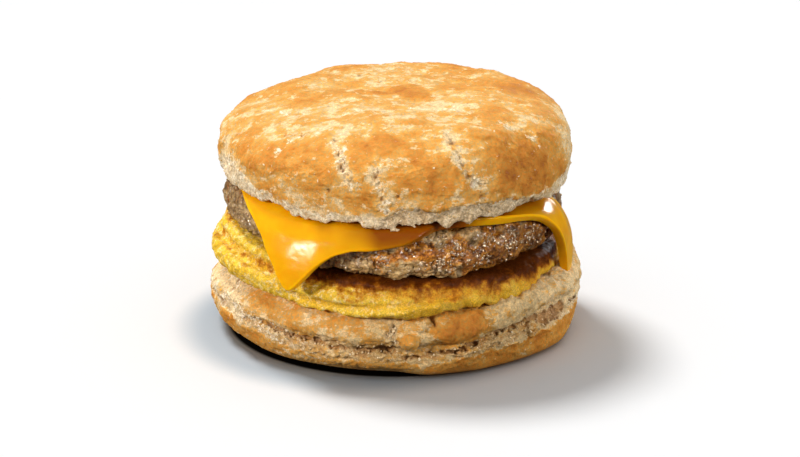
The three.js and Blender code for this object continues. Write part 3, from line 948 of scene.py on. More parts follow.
def egg_form():
    """The egg with its sagging front, its grooves, its lip and its ruffles."""
    piece = fine_copy("folded_egg_cooked", "folded_egg")
    points = points_of(piece)
    sag = within(angle_of(points), 238, 288, 20) * ease((radius_of(points) - 36) / 5)
    lifted(piece, -0.9 * sag)
    remeshed(piece, egg_grid, 2)
    points = points_of(piece)
    angle, height = angle_of(points), points[:, 2]
    side = ease((radius_of(points) - 37) / 3)
    folded = within(angle, 288, 345, 12)
    amount = 0.35 * rough(points, 5, 11, 3) + 0.16 * rough(points, 2.0, 12, 2)
    amount += 0.42 * folded * rough(laid_flat(points, 58), 2.2, 13, 3, (3, 1, 1))
    left, front = off_side_path(points, left_groove), off_side_path(points, front_groove)
    stray = 0.3 * rough(points, 2.2, 14, 2)
    amount -= 1.8 * bell(left + stray, 0.7) + 1.5 * bell(front + stray, 0.6)
    lip = within(angle, 234, 290, 8) * bell(around(lip_top, angle) - height - 1.3, 1.0)
    amount += 0.7 * lip * (1 + 0.6 * rough(points, 2.6, 15, 2))
    amount += 0.3 * within(angle, 162, 204, 14) * ease((height - 23) / 2)
    push(piece, amount * side)
    remeshed(piece, egg_grid, 1)
    points = points_of(piece)
    side = ease((radius_of(points) - 37) / 3)
    near = grains(points, 1.3, 17)[0]
    amount = 0.16 * rough(points, 1.5, 19, 3) - 0.20 * bell(near, 0.28) * ease(rough(points, 4, 23))
    amount += 0.26 * within(angle_of(points), 176, 236, 12) * rough(points, 1.3, 27, 3)
    push(piece, amount * side)
    return piece, points


egg, egg_points = egg_form()
print("the egg has", len(egg_points), "points, about", egg_grid, "mm apart")

# %% [markdown]
# ## The browning of the egg
# The pan browned the upper layer's edge in a band that starts at a height which changes round the side,
# and left small brown spots on the lip. Painting by hand would do, but a band that follows a height
# needs only its lower edge. Noise frays it. Where the band runs under the patty its dark end is painted
# shade, and the grooves and the right side, which lie in shade, get painted shade as a deeper yellow.

# %% Egg colours
def egg_colours(points):
    """The masks that the material reads."""
    angle, height = angle_of(points), points[:, 2]
    bent = strayed(points, 0.6, 2.5, 29)
    strongest = 0.95 - 0.25 * within(angle, 312, 20, 30)
    over_band = height - around(brown_low, angle) + 0.6 * rough(points, 2.2, 31)
    toward_right = within(angle, 272, 350, 24)
    groove = off_side_path(bent, left_groove)
    # the band under the patty is browning whose dark end is painted shade
    browning_and_shade = patches(bent, egg_brown) + strongest * ease(over_band / 3.4 + 0.62)
    browning_and_shade += 0.30 * toward_right * ease((height - 18.5) / 3)
    browning_and_shade += 0.46 * bell(groove, 1.0) * ease(0.9 + rough(points, 3, 33, 2))
    # painted shade in the grooves and on the right side of the egg
    shade = 0.35 * bell(groove, 0.5) + 0.55 * toward_right
    shade += 0.6 * bell(off_side_path(points, front_groove), 0.45)
    # the pale flecks, partly painted highlights, fade toward the shaded right
    return {"browning_and_shade": browning_and_shade, "shade": shade, "flecks_and_highlights": 1 - 0.8 * toward_right}


paint(egg, **egg_colours(egg_points))
finished(egg, moist_egg)

# %% [markdown]
# ## The finish of the patty
# Fried sausage is grey-brown inside and red brown where the pan seared it, with dark pits, pale flecks
# of fat and a film of hot fat over all. One brown with a shine would look like clay. So two ramps are
# mixed by the painted sear, painted light makes the front brighter and painted shade the ends darker,
# painted shade darkens the gaps between grains, and a coat gives the film its sparks.

# %% Patty finish
def patty_finish():
    finish = Finish("fried_sausage")
    wide = finish.noise(6, 4, 0.55, seed=6.1)
    middle = finish.noise(1.9, 6, 0.62, seed=9.9, stretch=(1.5, 1.5, 0.8))
    fine = finish.noise(0.6, 5, 0.65, seed=2.8)
    lean = finish.ramp(finish.between(middle, 0.3, 0.72), [
        (0.0, (0.20, 0.105, 0.030)), (0.5, (0.44, 0.265, 0.098)), (1.0, (0.74, 0.52, 0.26))])
    mingled = finish.math("ADD", finish.between(middle, 0.3, 0.7),
                          finish.between(fine, 0.3, 0.7, -0.2, 0.2))
    seared = finish.ramp(mingled, [
        (0.0, (0.16, 0.042, 0.003)), (0.5, (0.40, 0.135, 0.012)), (1.0, (0.62, 0.27, 0.040))])
    share = finish.math("ADD", finish.painted("sear"), finish.between(wide, 0.35, 0.65, -0.15, 0.15))
    share = finish.math("ADD", share, finish.between(middle, 0.3, 0.7, -0.20, 0.20), clamp=True)
    colour = finish.blend(finish.between(share, 0.35, 0.65), lean, seared)
    grain = finish.noise(0.36, 2, 0.5, seed=3.3)
    speckle = finish.math("MULTIPLY", finish.between(grain, 0.36, 0.64, 0.86, 1.14),
                          finish.between(fine, 0.38, 0.62, 0.76, 1.18))
    # painted light and shade: the speckle is scaled up at the front of the patty and down at its ends
    toned = finish.math("MULTIPLY", speckle, finish.painted("tone"))
    colour = finish.blend(1.0, colour, toned, "MULTIPLY")
    flecks = finish.noise(0.6, 2, 0.5, seed=15.5, stretch=(0.7, 0.7, 1.6))
    colour = finish.blend(finish.between(flecks, 0.64, 0.70, 0, 0.55), colour, (0.62, 0.46, 0.29))
    pits = finish.between(finish.noise(1.1, 3, 0.6, seed=44.1), 0.62, 0.68, 0, 0.75)
    colour = finish.blend(pits, colour, (0.10, 0.035, 0.008))
    # painted shade: the gaps between grains are darkened
    colour = finish.blend(finish.painted("gap"), colour, (0.05, 0.018, 0.006))
    finish.bumps((middle, 0.20), (fine, 0.07))
    return finish.set(Base_Color=colour, Roughness=finish.between(share, 0.2, 0.8, 0.46, 0.28),
                      Subsurface_Weight=0.05, Subsurface_Radius=(1.0, 0.4, 0.2), Subsurface_Scale=1.0 * MM,
                      Specular_IOR_Level=0.35, Coat_Weight=0.65, Coat_Roughness=0.10)


fried_sausage = patty_finish()
print("the patty's finish has", len(fried_sausage.node_tree.nodes), "nodes")

# %% [markdown]
# ## The grains of the patty
# Ground meat is a mass of grains a few millimetres wide, pressed together. Scattered balls would look
# like gravel. A Voronoi pattern tells each point how far it is from its own grain and from the next
# one, so that the grains swell and the gaps between them sink as one skin. The soft spots below say
# where it seared, where it stayed grey and where fat stands on it.

# %% Patty form
seared_spots = [
    (6, -41, 32, 4, 0.5), (8, -41, 30, 4, 0.4), (14, -38, 30, 4, 0.5), (18, -37, 28, 4, 0.5),
    (23, -34, 30, 5, 0.6), (25, -31, 26, 4, 0.5), (29, -28, 29, 5, 0.6), (34, -24, 29, 5, 0.7),
    (38, -16, 30, 6, 0.6), (-3, -42, 31, 3, 0.4), (-12, -40, 33, 3, 0.4), (20, 36, 30, 9, 0.5),
    (-34, 24, 30, 8, 0.5), (38, 12, 30, 8, 0.4),
]
grey_spots = [
    (1, -44, 36, 3, 0.3), (6, -42, 35.5, 3, 0.3), (11, -38, 35, 3, 0.4), (18, -36, 34.5, 3, 0.3),
    (2, -41, 27, 3, 0.5), (6, -40, 26, 3, 0.5), (13, -38, 27, 3, 0.4), (-12, -39, 27, 6, 0.5),
    (-22, -35, 28, 7, 0.5), (-38, -16, 31, 8, 0.4), (0, 42, 30, 8, 0.4), (-42, 4, 30, 8, 0.3),
]
shiny_spots = [
    (-3, -42, 31, 2.2, 1), (0, -42, 30.5, 2.2, 1), (6, -41, 29, 1.6, 0.8), (11, -40, 29, 1.8, 1),
    (16, -38, 32, 1.6, 0.8), (21, -36, 27, 1.6, 0.8), (24, -33, 32, 2.2, 0.9), (28, -29, 31, 2.2, 0.9),
    (-9, -41, 28, 3, 0.6), (33, -24, 30, 3, 0.5),
]
# painted light and shade round the patty: brighter at the front, darker toward the ends
patty_tone = [[190, 0.85], [238, 0.85], [262, 1.30], [288, 1.25], [310, 0.75], [340, 0.6]]


def patty_form():
    """The patty with its grains, gaps and lumps, and how much of a gap each point lies in."""
    piece = fine_copy("sausage_patty_fried", "sausage_patty")
    points = points_of(piece)
    sag = within(angle_of(points), 240, 296, 20) * ease((33 - points[:, 2]) / 5)
    lifted(piece, -1.0 * sag * ease((radius_of(points) - 34) / 5))
    remeshed(piece, 0.42)
    points = points_of(piece)
    refined(piece, within(angle_of(points), 176, 10, 4) * ease((radius_of(points) - 34) / 2) > 0.5)
    points = points_of(piece)
    side = ease((radius_of(points) - 34) / 3)
    bent = strayed(points, 0.5, 3, 3)
    near, following = grains(bent, 2.8, 5)
    small = grains(bent, 1.3, 7)[0]
    gap = bell(following - near, 0.14) * ease(0.6 + rough(points, 5, 9))
    crevice = ease(rough(points, 2.2, 17, 3) * 2.2 - 1.0)
    amount = 0.42 * (0.45 - near) + 0.08 * (0.5 - small) + 0.75 * rough(points, 7, 11, 2)
    amount -= 0.35 * gap + 0.5 * crevice
    amount += 0.7 * within(angle_of(points), 160, 204, 14) * bell(points[:, 2] - 28, 4)
    amount += 0.9 * within(angle_of(points), 334, 4, 12)
    amount += 0.35 * rough(laid_flat(points, 12), 2.2, 19, 3, (2.2, 1, 1))
    amount += 0.06 * rough(points, 1.0, 13, 3)
    push(piece, amount * side)
    return piece, points, np.maximum(gap, crevice)


patty, patty_points, patty_gap = patty_form()
bent = strayed(patty_points, 1.0, 3, 21)
sear = 0.36 + patches(bent, seared_spots) - patches(bent, grey_spots)
sear += 0.40 * rough(patty_points, 3.5, 15, 3)
# the gap mask is painted shade in the gaps between grains
paint(patty, sear=sear, gap=0.5 * patty_gap, tone=around(patty_tone, angle_of(patty_points)))
finished(patty, fried_sausage)

# %% [markdown]
# ## The finish of the cheese
# Melted cheese is smooth and glossy and lets some light in. Its cut edge and the corner at the right are
# given a brighter colour, which is painted light, and close under the rim a deep orange is painted
# shade. Both are laid on by painted masks, the shade by how near the rim a point is.

# %% Cheese finish
def cheese_finish():
    finish = Finish("melted_cheese")
    wide = finish.noise(9, 3, 0.5, seed=1.4)
    fine = finish.noise(0.8, 4, 0.6, seed=6.6)
    colour = finish.ramp(finish.between(wide, 0.3, 0.7), [
        (0.0, (0.80, 0.345, 0.002)), (0.5, (0.85, 0.395, 0.003)), (1.0, (0.88, 0.435, 0.005))])
    # painted light: the cut edge and the corner at the right are brighter
    colour = finish.blend(finish.painted("cut"), colour, (1.0, 0.46, 0.003))
    # painted shade under the rim, a deep orange-brown
    colour = finish.blend(finish.painted("shade"), colour, (0.22, 0.042, 0.0005))
    wavy = finish.noise(5, 2, 0.5, seed=11.2, stretch=(1.6, 1, 0.8))
    finish.bumps((wide, 0.10), (wavy, 0.14), (fine, 0.012))
    return finish.set(Base_Color=colour, Roughness=finish.between(fine, 0.3, 0.7, 0.14, 0.19),
                      Specular_IOR_Level=0.12, Subsurface_Weight=0.4,
                      Subsurface_Radius=(1.0, 0.38, 0.03), Subsurface_Scale=2.0 * MM)


melted_cheese = cheese_finish()
print("the cheese's finish has", len(melted_cheese.node_tree.nodes), "nodes")

# %% [markdown]
# ## The outline of the slice
# A slice of processed cheese is square with rounded corners. Here its outline is given by places round
# the sandwich, each with its distance from the middle, and rounded by cutting its corners three times.
# A bevel on a square would do for a fresh slice, but this one stretched where it hangs, so no two
# corners are alike.

# %% Outline of the slice
rim_edge = [
    [0, 43.2], [200, 42.4], [218, 42.6], [231, 42.5], [235, 41.0], [241, 40.2], [246.5, 38.7],
    [251, 40.0], [258, 40.5], [262, 39.8], [266, 38.3], [275, 38.9], [283, 40.4], [286.5, 38.4],
    [290, 39.9], [293, 39.0], [298, 41.1], [302, 39.8], [307, 40.1], [311, 41.0], [315, 42.2],
    [320, 42.2], [325, 41.7], [331, 40.7], [339, 40.4], [345, 41.3], [353, 42.8],
]
rim_shadow = [
    [200, 0], [242, 0], [251, 0.20], [259, 0.55], [266, 0.85], [290, 0.97], [304, 0.95], [316, 0.93],
    [326, 0.86], [336, 0.60], [346, 0.25], [356, 0.1],
]
slice_thickness = 2.3
slice_corners = [
    (5, 35.2), (20, 36.4), (34, 40.2), (45, 44), (56, 52), (62, 56.3), (68, 53), (80, 45.5), (98, 42.5),
    (118, 45), (132, 52.5), (137, 55.8), (142, 52), (152, 43), (164, 39.6), (182, 39.4), (198, 39.6),
    (210, 41.2), (225, 45.2), (231, 50.2), (237.3, 56.0), (239.8, 57), (242.8, 54.4), (249, 48.8),
    (257, 45.9), (267, 45.4), (276, 44.0), (283, 41.0), (288, 39.4), (296, 39.4), (310, 41.0),
    (325, 42.4), (334, 46.0), (340.5, 53.0), (343.6, 60.6), (347.6, 61.2), (349.0, 56.5), (350.4, 45.0),
    (354, 36.0),
]
level_reach, bend_end = 35.8, 43.7
bend_radius = [
    [0, 13], [40, 4.9], [215, 5.5], [240, 7.5], [262, 5.5], [295, 4.9], [325, 5.8], [340, 8.5],
    [351, 14],
]
first_splay = [[0, 4], [40, 10], [150, 12], [215, 16], [240, 26], [262, 14], [300, 8], [340, 3]]
sag_radius = 42
slice_middle, slice_level = -0.7, 37.65
slope_right, slope_back = -0.045, 0.02  # how much the patty's top rises for each mm


def slice_outline(columns):
    """The flat slice's outline, rounded a little, as evenly spaced points."""
    turns, reaches = np.array(slice_corners).T
    turns = np.radians(turns)
    corners = np.stack([reaches * np.cos(turns), reaches * np.sin(turns)], axis=1)
    for _ in range(3):
        after = np.roll(corners, -1, axis=0)
        cut = [0.75 * corners + 0.25 * after, 0.25 * corners + 0.75 * after]
        corners = np.stack(cut, axis=1).reshape(-1, 2)
    closed = np.vstack([corners, corners[:1]])
    along = np.concatenate([[0], np.cumsum(np.linalg.norm(np.diff(closed, axis=0), axis=1))])
    even = np.linspace(0, along[-1], columns, endpoint=False)
    return np.stack([np.interp(even, along, closed[:, axis]) for axis in range(2)], axis=1)


slice_columns = 420
outline = slice_outline(slice_columns)
outline_reach = np.hypot(outline[:, 0], outline[:, 1])
outline_angle = np.degrees(np.arctan2(outline[:, 1], outline[:, 0])) % 360
print("the slice reaches", round(outline_reach.min(), 1), "to", round(outline_reach.max(), 1), "mm out")

# %% [markdown]
# ## How the slice drapes
# Hot meat makes the slice sag: it lies level on the patty, bends at the patty's edge and hangs in a
# curve. It could be dropped there by a cloth simulation, but then its corners would not stay where they
# belong, and its thickness would change. A formula bends each distance from the middle by the same rule
# all round.

# %% Drape
def draped(distance, angle, above):
    """Where a point of the flat slice comes to lie: level, round the bend, and down in a gentle curve."""
    radius = around(bend_radius, angle)
    past = np.maximum(0, distance - (bend_end - radius))
    steepest = np.radians(90 - around(first_splay, angle))
    bend = np.minimum(past / radius, steepest)
    hanging = np.maximum(0, past - steepest * radius)
    sag = np.minimum(hanging / sag_radius, np.radians(91) - steepest)
    straight = hanging - sag * sag_radius
    level = np.minimum(distance, bend_end - radius)
    out = level + radius * np.sin(bend)
    out = out + sag_radius * (np.sin(steepest + sag) - np.sin(steepest)) * (sag > 0)
    drop = radius * (1 - np.cos(bend))
    drop = drop + sag_radius * (np.cos(steepest) - np.cos(steepest + sag)) * (sag > 0)
    out = out + straight * np.cos(bend + sag) + above * np.sin(bend + sag)
    drop = drop + straight * np.sin(bend + sag) - above * np.cos(bend + sag)
    turn = np.radians(angle)
    x, y = slice_middle + level * np.cos(turn), level * np.sin(turn)
    under = slice_level + slope_right * x + slope_back * y
    return np.stack([slice_middle + out * np.cos(turn), out * np.sin(turn), under - drop], axis=1)


lowest = draped(outline_reach, outline_angle, 0)[:, 2].min()
print("the slice hangs down to", round(lowest, 1), "mm above the ground")

# %% [markdown]
# ## The mesh of the slice
# The slice is built of rows that run round it: from the middle of its underside outward, round the cut
# edge and back over the top. A flat face with a Solidify modifier would give the thickness too, but no
# rounded edge. Here each row is a share of the way out, an inset and a depth, and every row is draped
# by the formula.

# %% Slice
def slice_rows():
    """Each row's share of the way out, how far it is in from the cut edge, and its depth below the top."""
    edge = 0.4  # how far the rounding of the slice's cut edge goes in
    turns = np.radians(np.linspace(0, 90, 5))
    rows = [(share, edge, 0) for share in np.linspace(0, 1, 26)[:-1]]
    rows += [(1, edge * (1 - math.sin(turn)), edge * (1 - math.cos(turn))) for turn in turns]
    rows += [(1, 0, slice_thickness / 2)]
    return rows + [(share, inset, slice_thickness - drop) for share, inset, drop in reversed(rows[:-1])]


def cheese_piece(rows):
    """The slice, with a slightly uneven edge."""
    on_ground = np.stack([outline[:, 0], outline[:, 1], 0 * outline_reach], axis=1)
    reach = outline_reach + 0.12 * rough(on_ground, 5, 21, 2)
    points = []
    for share, inset, drop in rows:
        outer = reach - inset
        start = np.minimum(level_reach, outer)
        points.append(draped(mix(start, outer, share), outline_angle, slice_thickness - drop))
    grid = np.arange(len(rows) * len(reach)).reshape(len(rows), len(reach))
    after = np.roll(grid, -1, axis=1)
    faces = np.stack([grid[:-1], grid[1:], after[1:], after[:-1]], axis=2).reshape(-1, 4).tolist()
    faces += [grid[0].tolist(), grid[-1][::-1].tolist()]
    mesh = bpy.data.meshes.new("cheese_slice_melted")
    mesh.from_pydata((np.concatenate(points) * MM).tolist(), [], faces)
    piece = bpy.data.objects.new("cheese_slice_melted", mesh)
    food.objects.link(piece)
    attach(piece, "root")
    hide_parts("cheese_slice")
    return piece


rows = slice_rows()
cheese = cheese_piece(rows)
print("the slice has", len(rows), "rows of", slice_columns, "points")

# %% [markdown]
# ## The look of the slice
# A last slight waviness keeps the hanging corners from looking like plastic. Then two masks are
# painted: painted light, which makes the cut edge and the corner at the right brighter, and painted
# shade under the rim. The shade could be left to the lamps, but under the real rim it is deep and warm,
# so it is added.

# %% Cut edge and shade of the slice
places = points_of(cheese)
push(cheese, 0.14 * rough(places, 9, 21, 2) * ease((radius_of(places) - 38) / 4))
turn = angle_of(places)
below_rim = around(rim_edge, turn) - places[:, 2]
cut_edge = np.repeat([row[0] == 1 for row in rows], slice_columns) * 1.0
# painted shade under the rim
shade = around(rim_shadow, turn) * bell(np.maximum(0, below_rim - 2.5), 3.5) + 0.5 * bell(below_rim, 1.6)
shade *= 1 - cut_edge * within(turn, 300, 350, 10)
# painted light on the cut edge and on the corner at the right
lit_cut_and_corner = np.maximum(cut_edge, 0.9 * within(turn, 341, 352, 3))
paint(cheese, shade=np.clip(shade, 0, 0.95), cut=lit_cut_and_corner)
finished(cheese, melted_cheese)
print("the shade under the rim covers", round(100 * float((shade > 0.3).mean())), "% of the slice")

# %% [markdown]
# ## The crown's lobes, creases and tears
# The crown rose in soft lobes, and where the crust stretched between them it opened in creases down the
# side and in thin tears across the top, with small pits beside them. Under the crust the rim is torn
# crumb. They are placed with the tools that the lower half used, so that both halves look like one
# biscuit.

# %% Places on the upper biscuit
open_rim = (267, 319)
smoothed_away = 1.3  # the later steps of sculpting take so much off the rim's lower edge
crust_edge = [
    [0, 36], [255, 36], [266, 40.0], [269, 42.2], [272, 43.6], [278, 43.2], [284, 42.5], [290, 43.4],
    [305, 43.4], [313, 42.6], [320, 41], [330, 36],
]
crown_swell = [
    (5, 22, 59, 16, -1.0), (41, 3, 52, 6.5, -1.0), (27, 14, 59, 7, 0.7), (-16, 20, 59, 13, 0.6),
]
crown_creases = [
    [(247, 57), (251, 55), (254, 52), (257, 48.5)],
    [(292, 57.5), (292, 54), (294, 50), (298, 47), (298, 44)],
    [(264, 52.5), (265, 49), (266.5, 46), (267, 43)],
]
crown_tears = [
    [(24, -23), (27, -22), (30, -22), (33.5, -22.5), (36, -24)],
    [(-28, -29), (-21, -26), (-15, -27), (-12, -28)],
    [(-31, -7), (-24, -14), (-16, -17), (-9, -16), (-1, -15), (6, -14), (13, -14), (20, -17)],
]
rim_frill = [
    [0, 43], [186, 43], [201, 45.5], [226, 41.5], [246, 39], [260, 40], [273, 38], [292, 37], [315, 40],
]
print("the crown has", len(crown_creases), "creases and", len(crown_tears), "tears")

# %% [markdown]
# ## The crown's browned and pale spots
# The oven browned what stood highest and left the valleys pale, and flour kept some spots paler still.
# A gradient by height would brown the whole top alike. So each browned or pale spot is given by its
# place, its size and its strength, and the material's noise breaks them up into one mottled crust. The
# pale spots on the right edge are partly pale crust and partly painted light.

# %% Spots on the upper biscuit
crown_brown = [
    (9, -41, 51, 5.5, 0.45), (3, -42, 50, 4, 0.30), (16, -40, 50, 4, 0.35), (27, -34, 50, 6, 0.45),
    (24, -32, 55, 4.5, 0.35), (37, -24, 48, 7, 0.50), (31, -31, 47, 5, 0.48), (31, -26, 56, 6, 0.26),
    (36, -26, 53, 5, 0.22), (-2, -35, 57, 5, 0.35), (-9, -34, 57, 5, 0.40), (4, -36, 56, 5, 0.35),
    (-19, -38, 51, 6, 0.35), (-24, -34, 53, 6, 0.30), (-29, -29, 53, 5, 0.25), (-34, -24, 52, 5, 0.25),
    (-7, -43, 46, 4, 0.35), (-11, -42, 47, 4, 0.30), (-37, -15, 54, 5, 0.35), (31, 5, 60, 6, 0.40),
    (26, 5, 60, 5, 0.3), (-20, -4, 60, 5, 0.25), (25, -14, 60, 5, 0.30), (4, 0, 60, 5, 0.45),
    (-3, 0, 60, 4, 0.3), (16, 26, 60, 6, 0.40), (40, 14, 54, 8, 0.35), (28, 32, 54, 9, 0.45),
    (5, 40, 55, 9, 0.45), (-22, 36, 53, 9, 0.40), (-38, 18, 53, 8, 0.35), (-12, 22, 60, 7, 0.25),
]
# the three spots at x 43 to 44 on the right edge are partly pale crust and partly painted light
crown_pale = [
    (-31, -5, 57, 6, 0.25), (-23, -14, 58, 6, 0.25), (-16, -17, 58, 6, 0.25), (-9, -16, 60, 5, 0.22),
    (-1, -15, 60, 5, 0.25), (-20, -26, 57, 5, 0.22), (-11, -27, 59, 5, 0.2), (6, -14, 59, 5, 0.25),
    (13, -13, 60, 5, 0.25), (1, -20, 60, 4, 0.15), (-42, -12, 46, 6, 0.35), (-38, -22, 45, 6, 0.35),
    (43, -2, 54, 5, 0.45), (44, -9, 48, 4.5, 0.52), (44, 3, 50, 6, 0.60), (0, -43.5, 50, 1.8, 0.4),
    (4, -44, 46, 2, 0.3), (20, -30, 58, 4, 0.2), (-4, 14, 60, 6, 0.2), (-36, 30, 48, 6, 0.3),
]
crown_pits = [
    (-4, 9), (-9, 14), (-16, -10), (-28, -17), (-23, -14), (-26, -24), (-24, -25), (-22, -26), (23, 2),
    (2, -19), (16, -16), (-17, 20), (12, 18),
]
side_pits = [
    (250, 55), (253, 52), (252, 52.6), (249, 47), (292, 57), (294, 50), (295, 48), (264, 51), (266, 46),
    (298, 45), (199, 53), (271, 46.5),
]
print("the crown has", len(crown_brown), "browned and", len(crown_pale), "pale spots")

# %% [markdown]
# ## The upper biscuit's masks
# One set of masks serves the shape and the colours: how far a point is below the crust's torn edge, how
# near it is to a crease or a tear, and whether it is on the rim's frill of loose crumb. The face that
# rests on the cheese can't be seen, so a mask of open air keeps all relief off it, and it stays where
# its solid has it.

# %% Masks of the upper biscuit
def upper_masks(points):
    angle, height, radius = angle_of(points), points[:, 2], radius_of(points)
    ragged = rough(points, 3.0, 81)
    fringe = rough(points, 1.1, 82, 2)
    side = ease((radius - 38) / 3)
    open_air = np.maximum(side, ease((height - 50) / 3))
    torn = around(crust_edge, angle) + 0.6 * ragged + 0.35 * fringe - height
    crease = np.minimum.reduce([off_side_path(points, path) for path in crown_creases])
    crease = np.where(height > 42, crease, 99) + 0.4 * ragged + 0.3 * fringe
    tear = np.minimum.reduce([off_top_path(points, path) for path in crown_tears])
    tear = np.where(height > 52, tear, 99) + 0.9 * ragged
    return {"angle": angle, "height": height, "side": side, "open": open_air, "torn": torn,
            "crumb": ease(torn / 0.5), "crease": crease, "tear": tear, "ragged": ragged, "fringe": fringe,
            "frill": ease((around(rim_frill, angle) + 3.0 + ragged - height) / 2.0) * side}


def pits_at(spots, size, flat):
    """How deep each place on a flat surface lies in a pit, from 0 to 1."""
    nearest = np.full(len(flat), 99.0)
    for spot in spots:
        nearest = np.minimum(nearest, np.linalg.norm(flat - np.array(spot), axis=1))
    return bell(nearest, size)


print("there are", len(side_pits), "pits on the side and", len(crown_pits), "on the crown")

# %% [markdown]
# ## The rim of the upper biscuit
# The rim hangs over the filling in a ragged edge with small teeth. Cutting it with a Boolean would
# leave a sharp edge. Here the height of the present edge is measured in each sector of three degrees,
# and the skin between it and the crown is stretched down or up, so that the edge comes to the height
# that it should have.

# %% Rim of the upper biscuit
sector_width = 3  # degrees
still_above = 46.5  # the stretch of the skin ends at this height


def edge_now(points):
    """The height of the rim's lower edge all round, measured in sectors."""
    height, radius = points[:, 2], radius_of(points)
    sector = (angle_of(points) // sector_width).astype(int)
    lowest = []
    for number in range(360 // sector_width):
        outer = (sector == number) & (radius > radius[sector == number].max() - 1.0)
        lowest.append([sector_width * (number + 0.5), height[outer].min()])
    return around(lowest, angle_of(points))


def stretched_rim(piece):
    points = points_of(piece)
    angle, height, now = angle_of(points), points[:, 2], edge_now(points)
    round_rim = laid_flat(points) * (1, 0, 0)
    teeth = 0.34 * rough(round_rim, 3.0, 86, 2) + 0.13 * rough(round_rim, 1.3, 84, 2)
    teeth *= 1 - within(angle, 264, 272, 3)
    share = np.clip((still_above - height) / (still_above - now), 0, 1)
    share *= ease((radius_of(points) - 41.2) / 1.8)
    lifted(piece, share * (around(rim_edge, angle) - smoothed_away + teeth - now))


upper_crust = fine_copy("upper_biscuit_crust", "upper_biscuit")
lifted(upper_crust, patches(points_of(upper_crust), crown_swell))
remeshed(upper_crust, biscuit_grid)
stretched_rim(upper_crust)
edge = edge_now(points_of(upper_crust))
print("the rim's edge is between", round(edge.min(), 1), "and", round(edge.max(), 1), "mm high")

# %% [markdown]
# ## The large forms of the upper biscuit
# Creases and tears sink in, with a slight lip beside them, and the torn crumb falls back behind the
# crust's edge. Then the skin is remeshed once more, because the deep cuts stretched its squares, and
# the squares that the camera comes near to are split. A finer mesh everywhere would cost four times as
# much.

# %% Large forms of the upper biscuit
def upper_form(piece):
    points = points_of(piece)
    m = upper_masks(points)
    amount = 0.30 * rough(points, 9, 83, 2) + 0.14 * rough(points, 4, 87, 2)
    amount += -0.5 * bell(m["crease"], 0.8) * ease(0.6 + rough(points, 1.6, 88, 2))
    amount += 0.15 * bell(m["crease"] - 1.6, 0.8) - 0.4 * bell(m["tear"], 0.8)
    amount *= 1 - m["crumb"]
    amount += 0.25 * bell(m["torn"] + 0.5, 0.6) * within(m["angle"], *open_rim, 4)
    amount += m["crumb"] * (0.30 * rough(points, 3, 89, 2) - 0.40) * m["side"]
    amount += m["frill"] * (0.20 * rough(points, 1.8, 85, 2) + 0.12 * m["fringe"])
    amount -= 0.4 * within(m["angle"], 328, 359, 10) * ease((47 - m["height"]) / 4)
    push(piece, amount * m["open"])
    remeshed(piece, biscuit_grid, 1)
    points = points_of(piece)
    showing = within(angle_of(points), 180, 0, 4) * ease((radius_of(points) - 38) / 2)
    refined(piece, showing * ease((58 - points[:, 2]) / 2) > 0.5)


upper_form(upper_crust)
print("the upper biscuit has", len(upper_crust.data.vertices), "points to sculpt")

# %% [markdown]
# ## The crust of the upper biscuit
# Baked dough flakes in thin layers, like terraces a fifth of a millimetre high, and is crumbly beside
# its creases. Bumps in the shader alone would leave the outline smooth. So the layers are steps in a
# wide noise, and grains, pits and fine noise are added to them, with softer relief where the crumb is
# torn.

# %% Crust of the upper biscuit
def upper_relief(points, m):
    """The relief of crust and crumb in mm. What the colours need again is added to the masks."""
    level = rough(points, 6, 91, 5, (1.6, 1.0, 1.0))
    flaky = ease((level - 0.02) / 0.05)
    second = ease((level - 0.28) / 0.05) - ease((-0.24 - level) / 0.05)
    near = grains(points, 1.3, 93)[0]
    on_side = np.stack([m["angle"] * side_mm, points[:, 2]], axis=1)
    beside = pits_at([(turn * side_mm, z) for turn, z in side_pits], 0.45, on_side)
    pits = np.maximum(pits_at(crown_pits, 0.5, points[:, :2]), beside)
    crumbly = bell(np.minimum(m["crease"], m["tear"] + 0.4), 1.3)
    chain = bell(m["crease"], 1.0) * ease(rough(points, 1.0, 99, 2) * 2.2 - 0.5)
    crust = 0.17 * flaky + 0.13 * second
    crust += 0.08 * rough(points, 1.6, 95) + 0.05 * rough(points, 0.8, 97, 2)
    crust += 0.16 * crumbly * rough(points, 0.9, 98, 2) - 0.8 * pits - 0.4 * chain
    crumb = 0.14 * rough(points, 2.2, 101) + 0.07 * (0.5 - near) + 0.06 * rough(points, 0.9, 103, 2)
    # painted shade in the pits and along the creases
    m.update(flaky=flaky, crumbly=crumbly, hollow=0.7 * pits + 0.35 * chain)
    return m["open"] * mix(crust, crumb, m["crumb"])


points = points_of(upper_crust)
masks = upper_masks(points)
relief = upper_relief(points, masks)
push(upper_crust, relief)
print("the crust's relief goes from", round(relief.min(), 2), "to", round(relief.max(), 2), "mm")

# %% [markdown]
# ## The upper biscuit's colours
# The lobes are golden to brown, the creases and the flakes cream, and the torn rim pale at the left and
# tan at the front, where its darker tan is painted shade. The colours could follow the relief alone,
# but browning also comes from where heat reached. So the bake adds spots, flakes and wide noise, and
# loses some along creases and the torn edge. Pits and creases get painted shade.

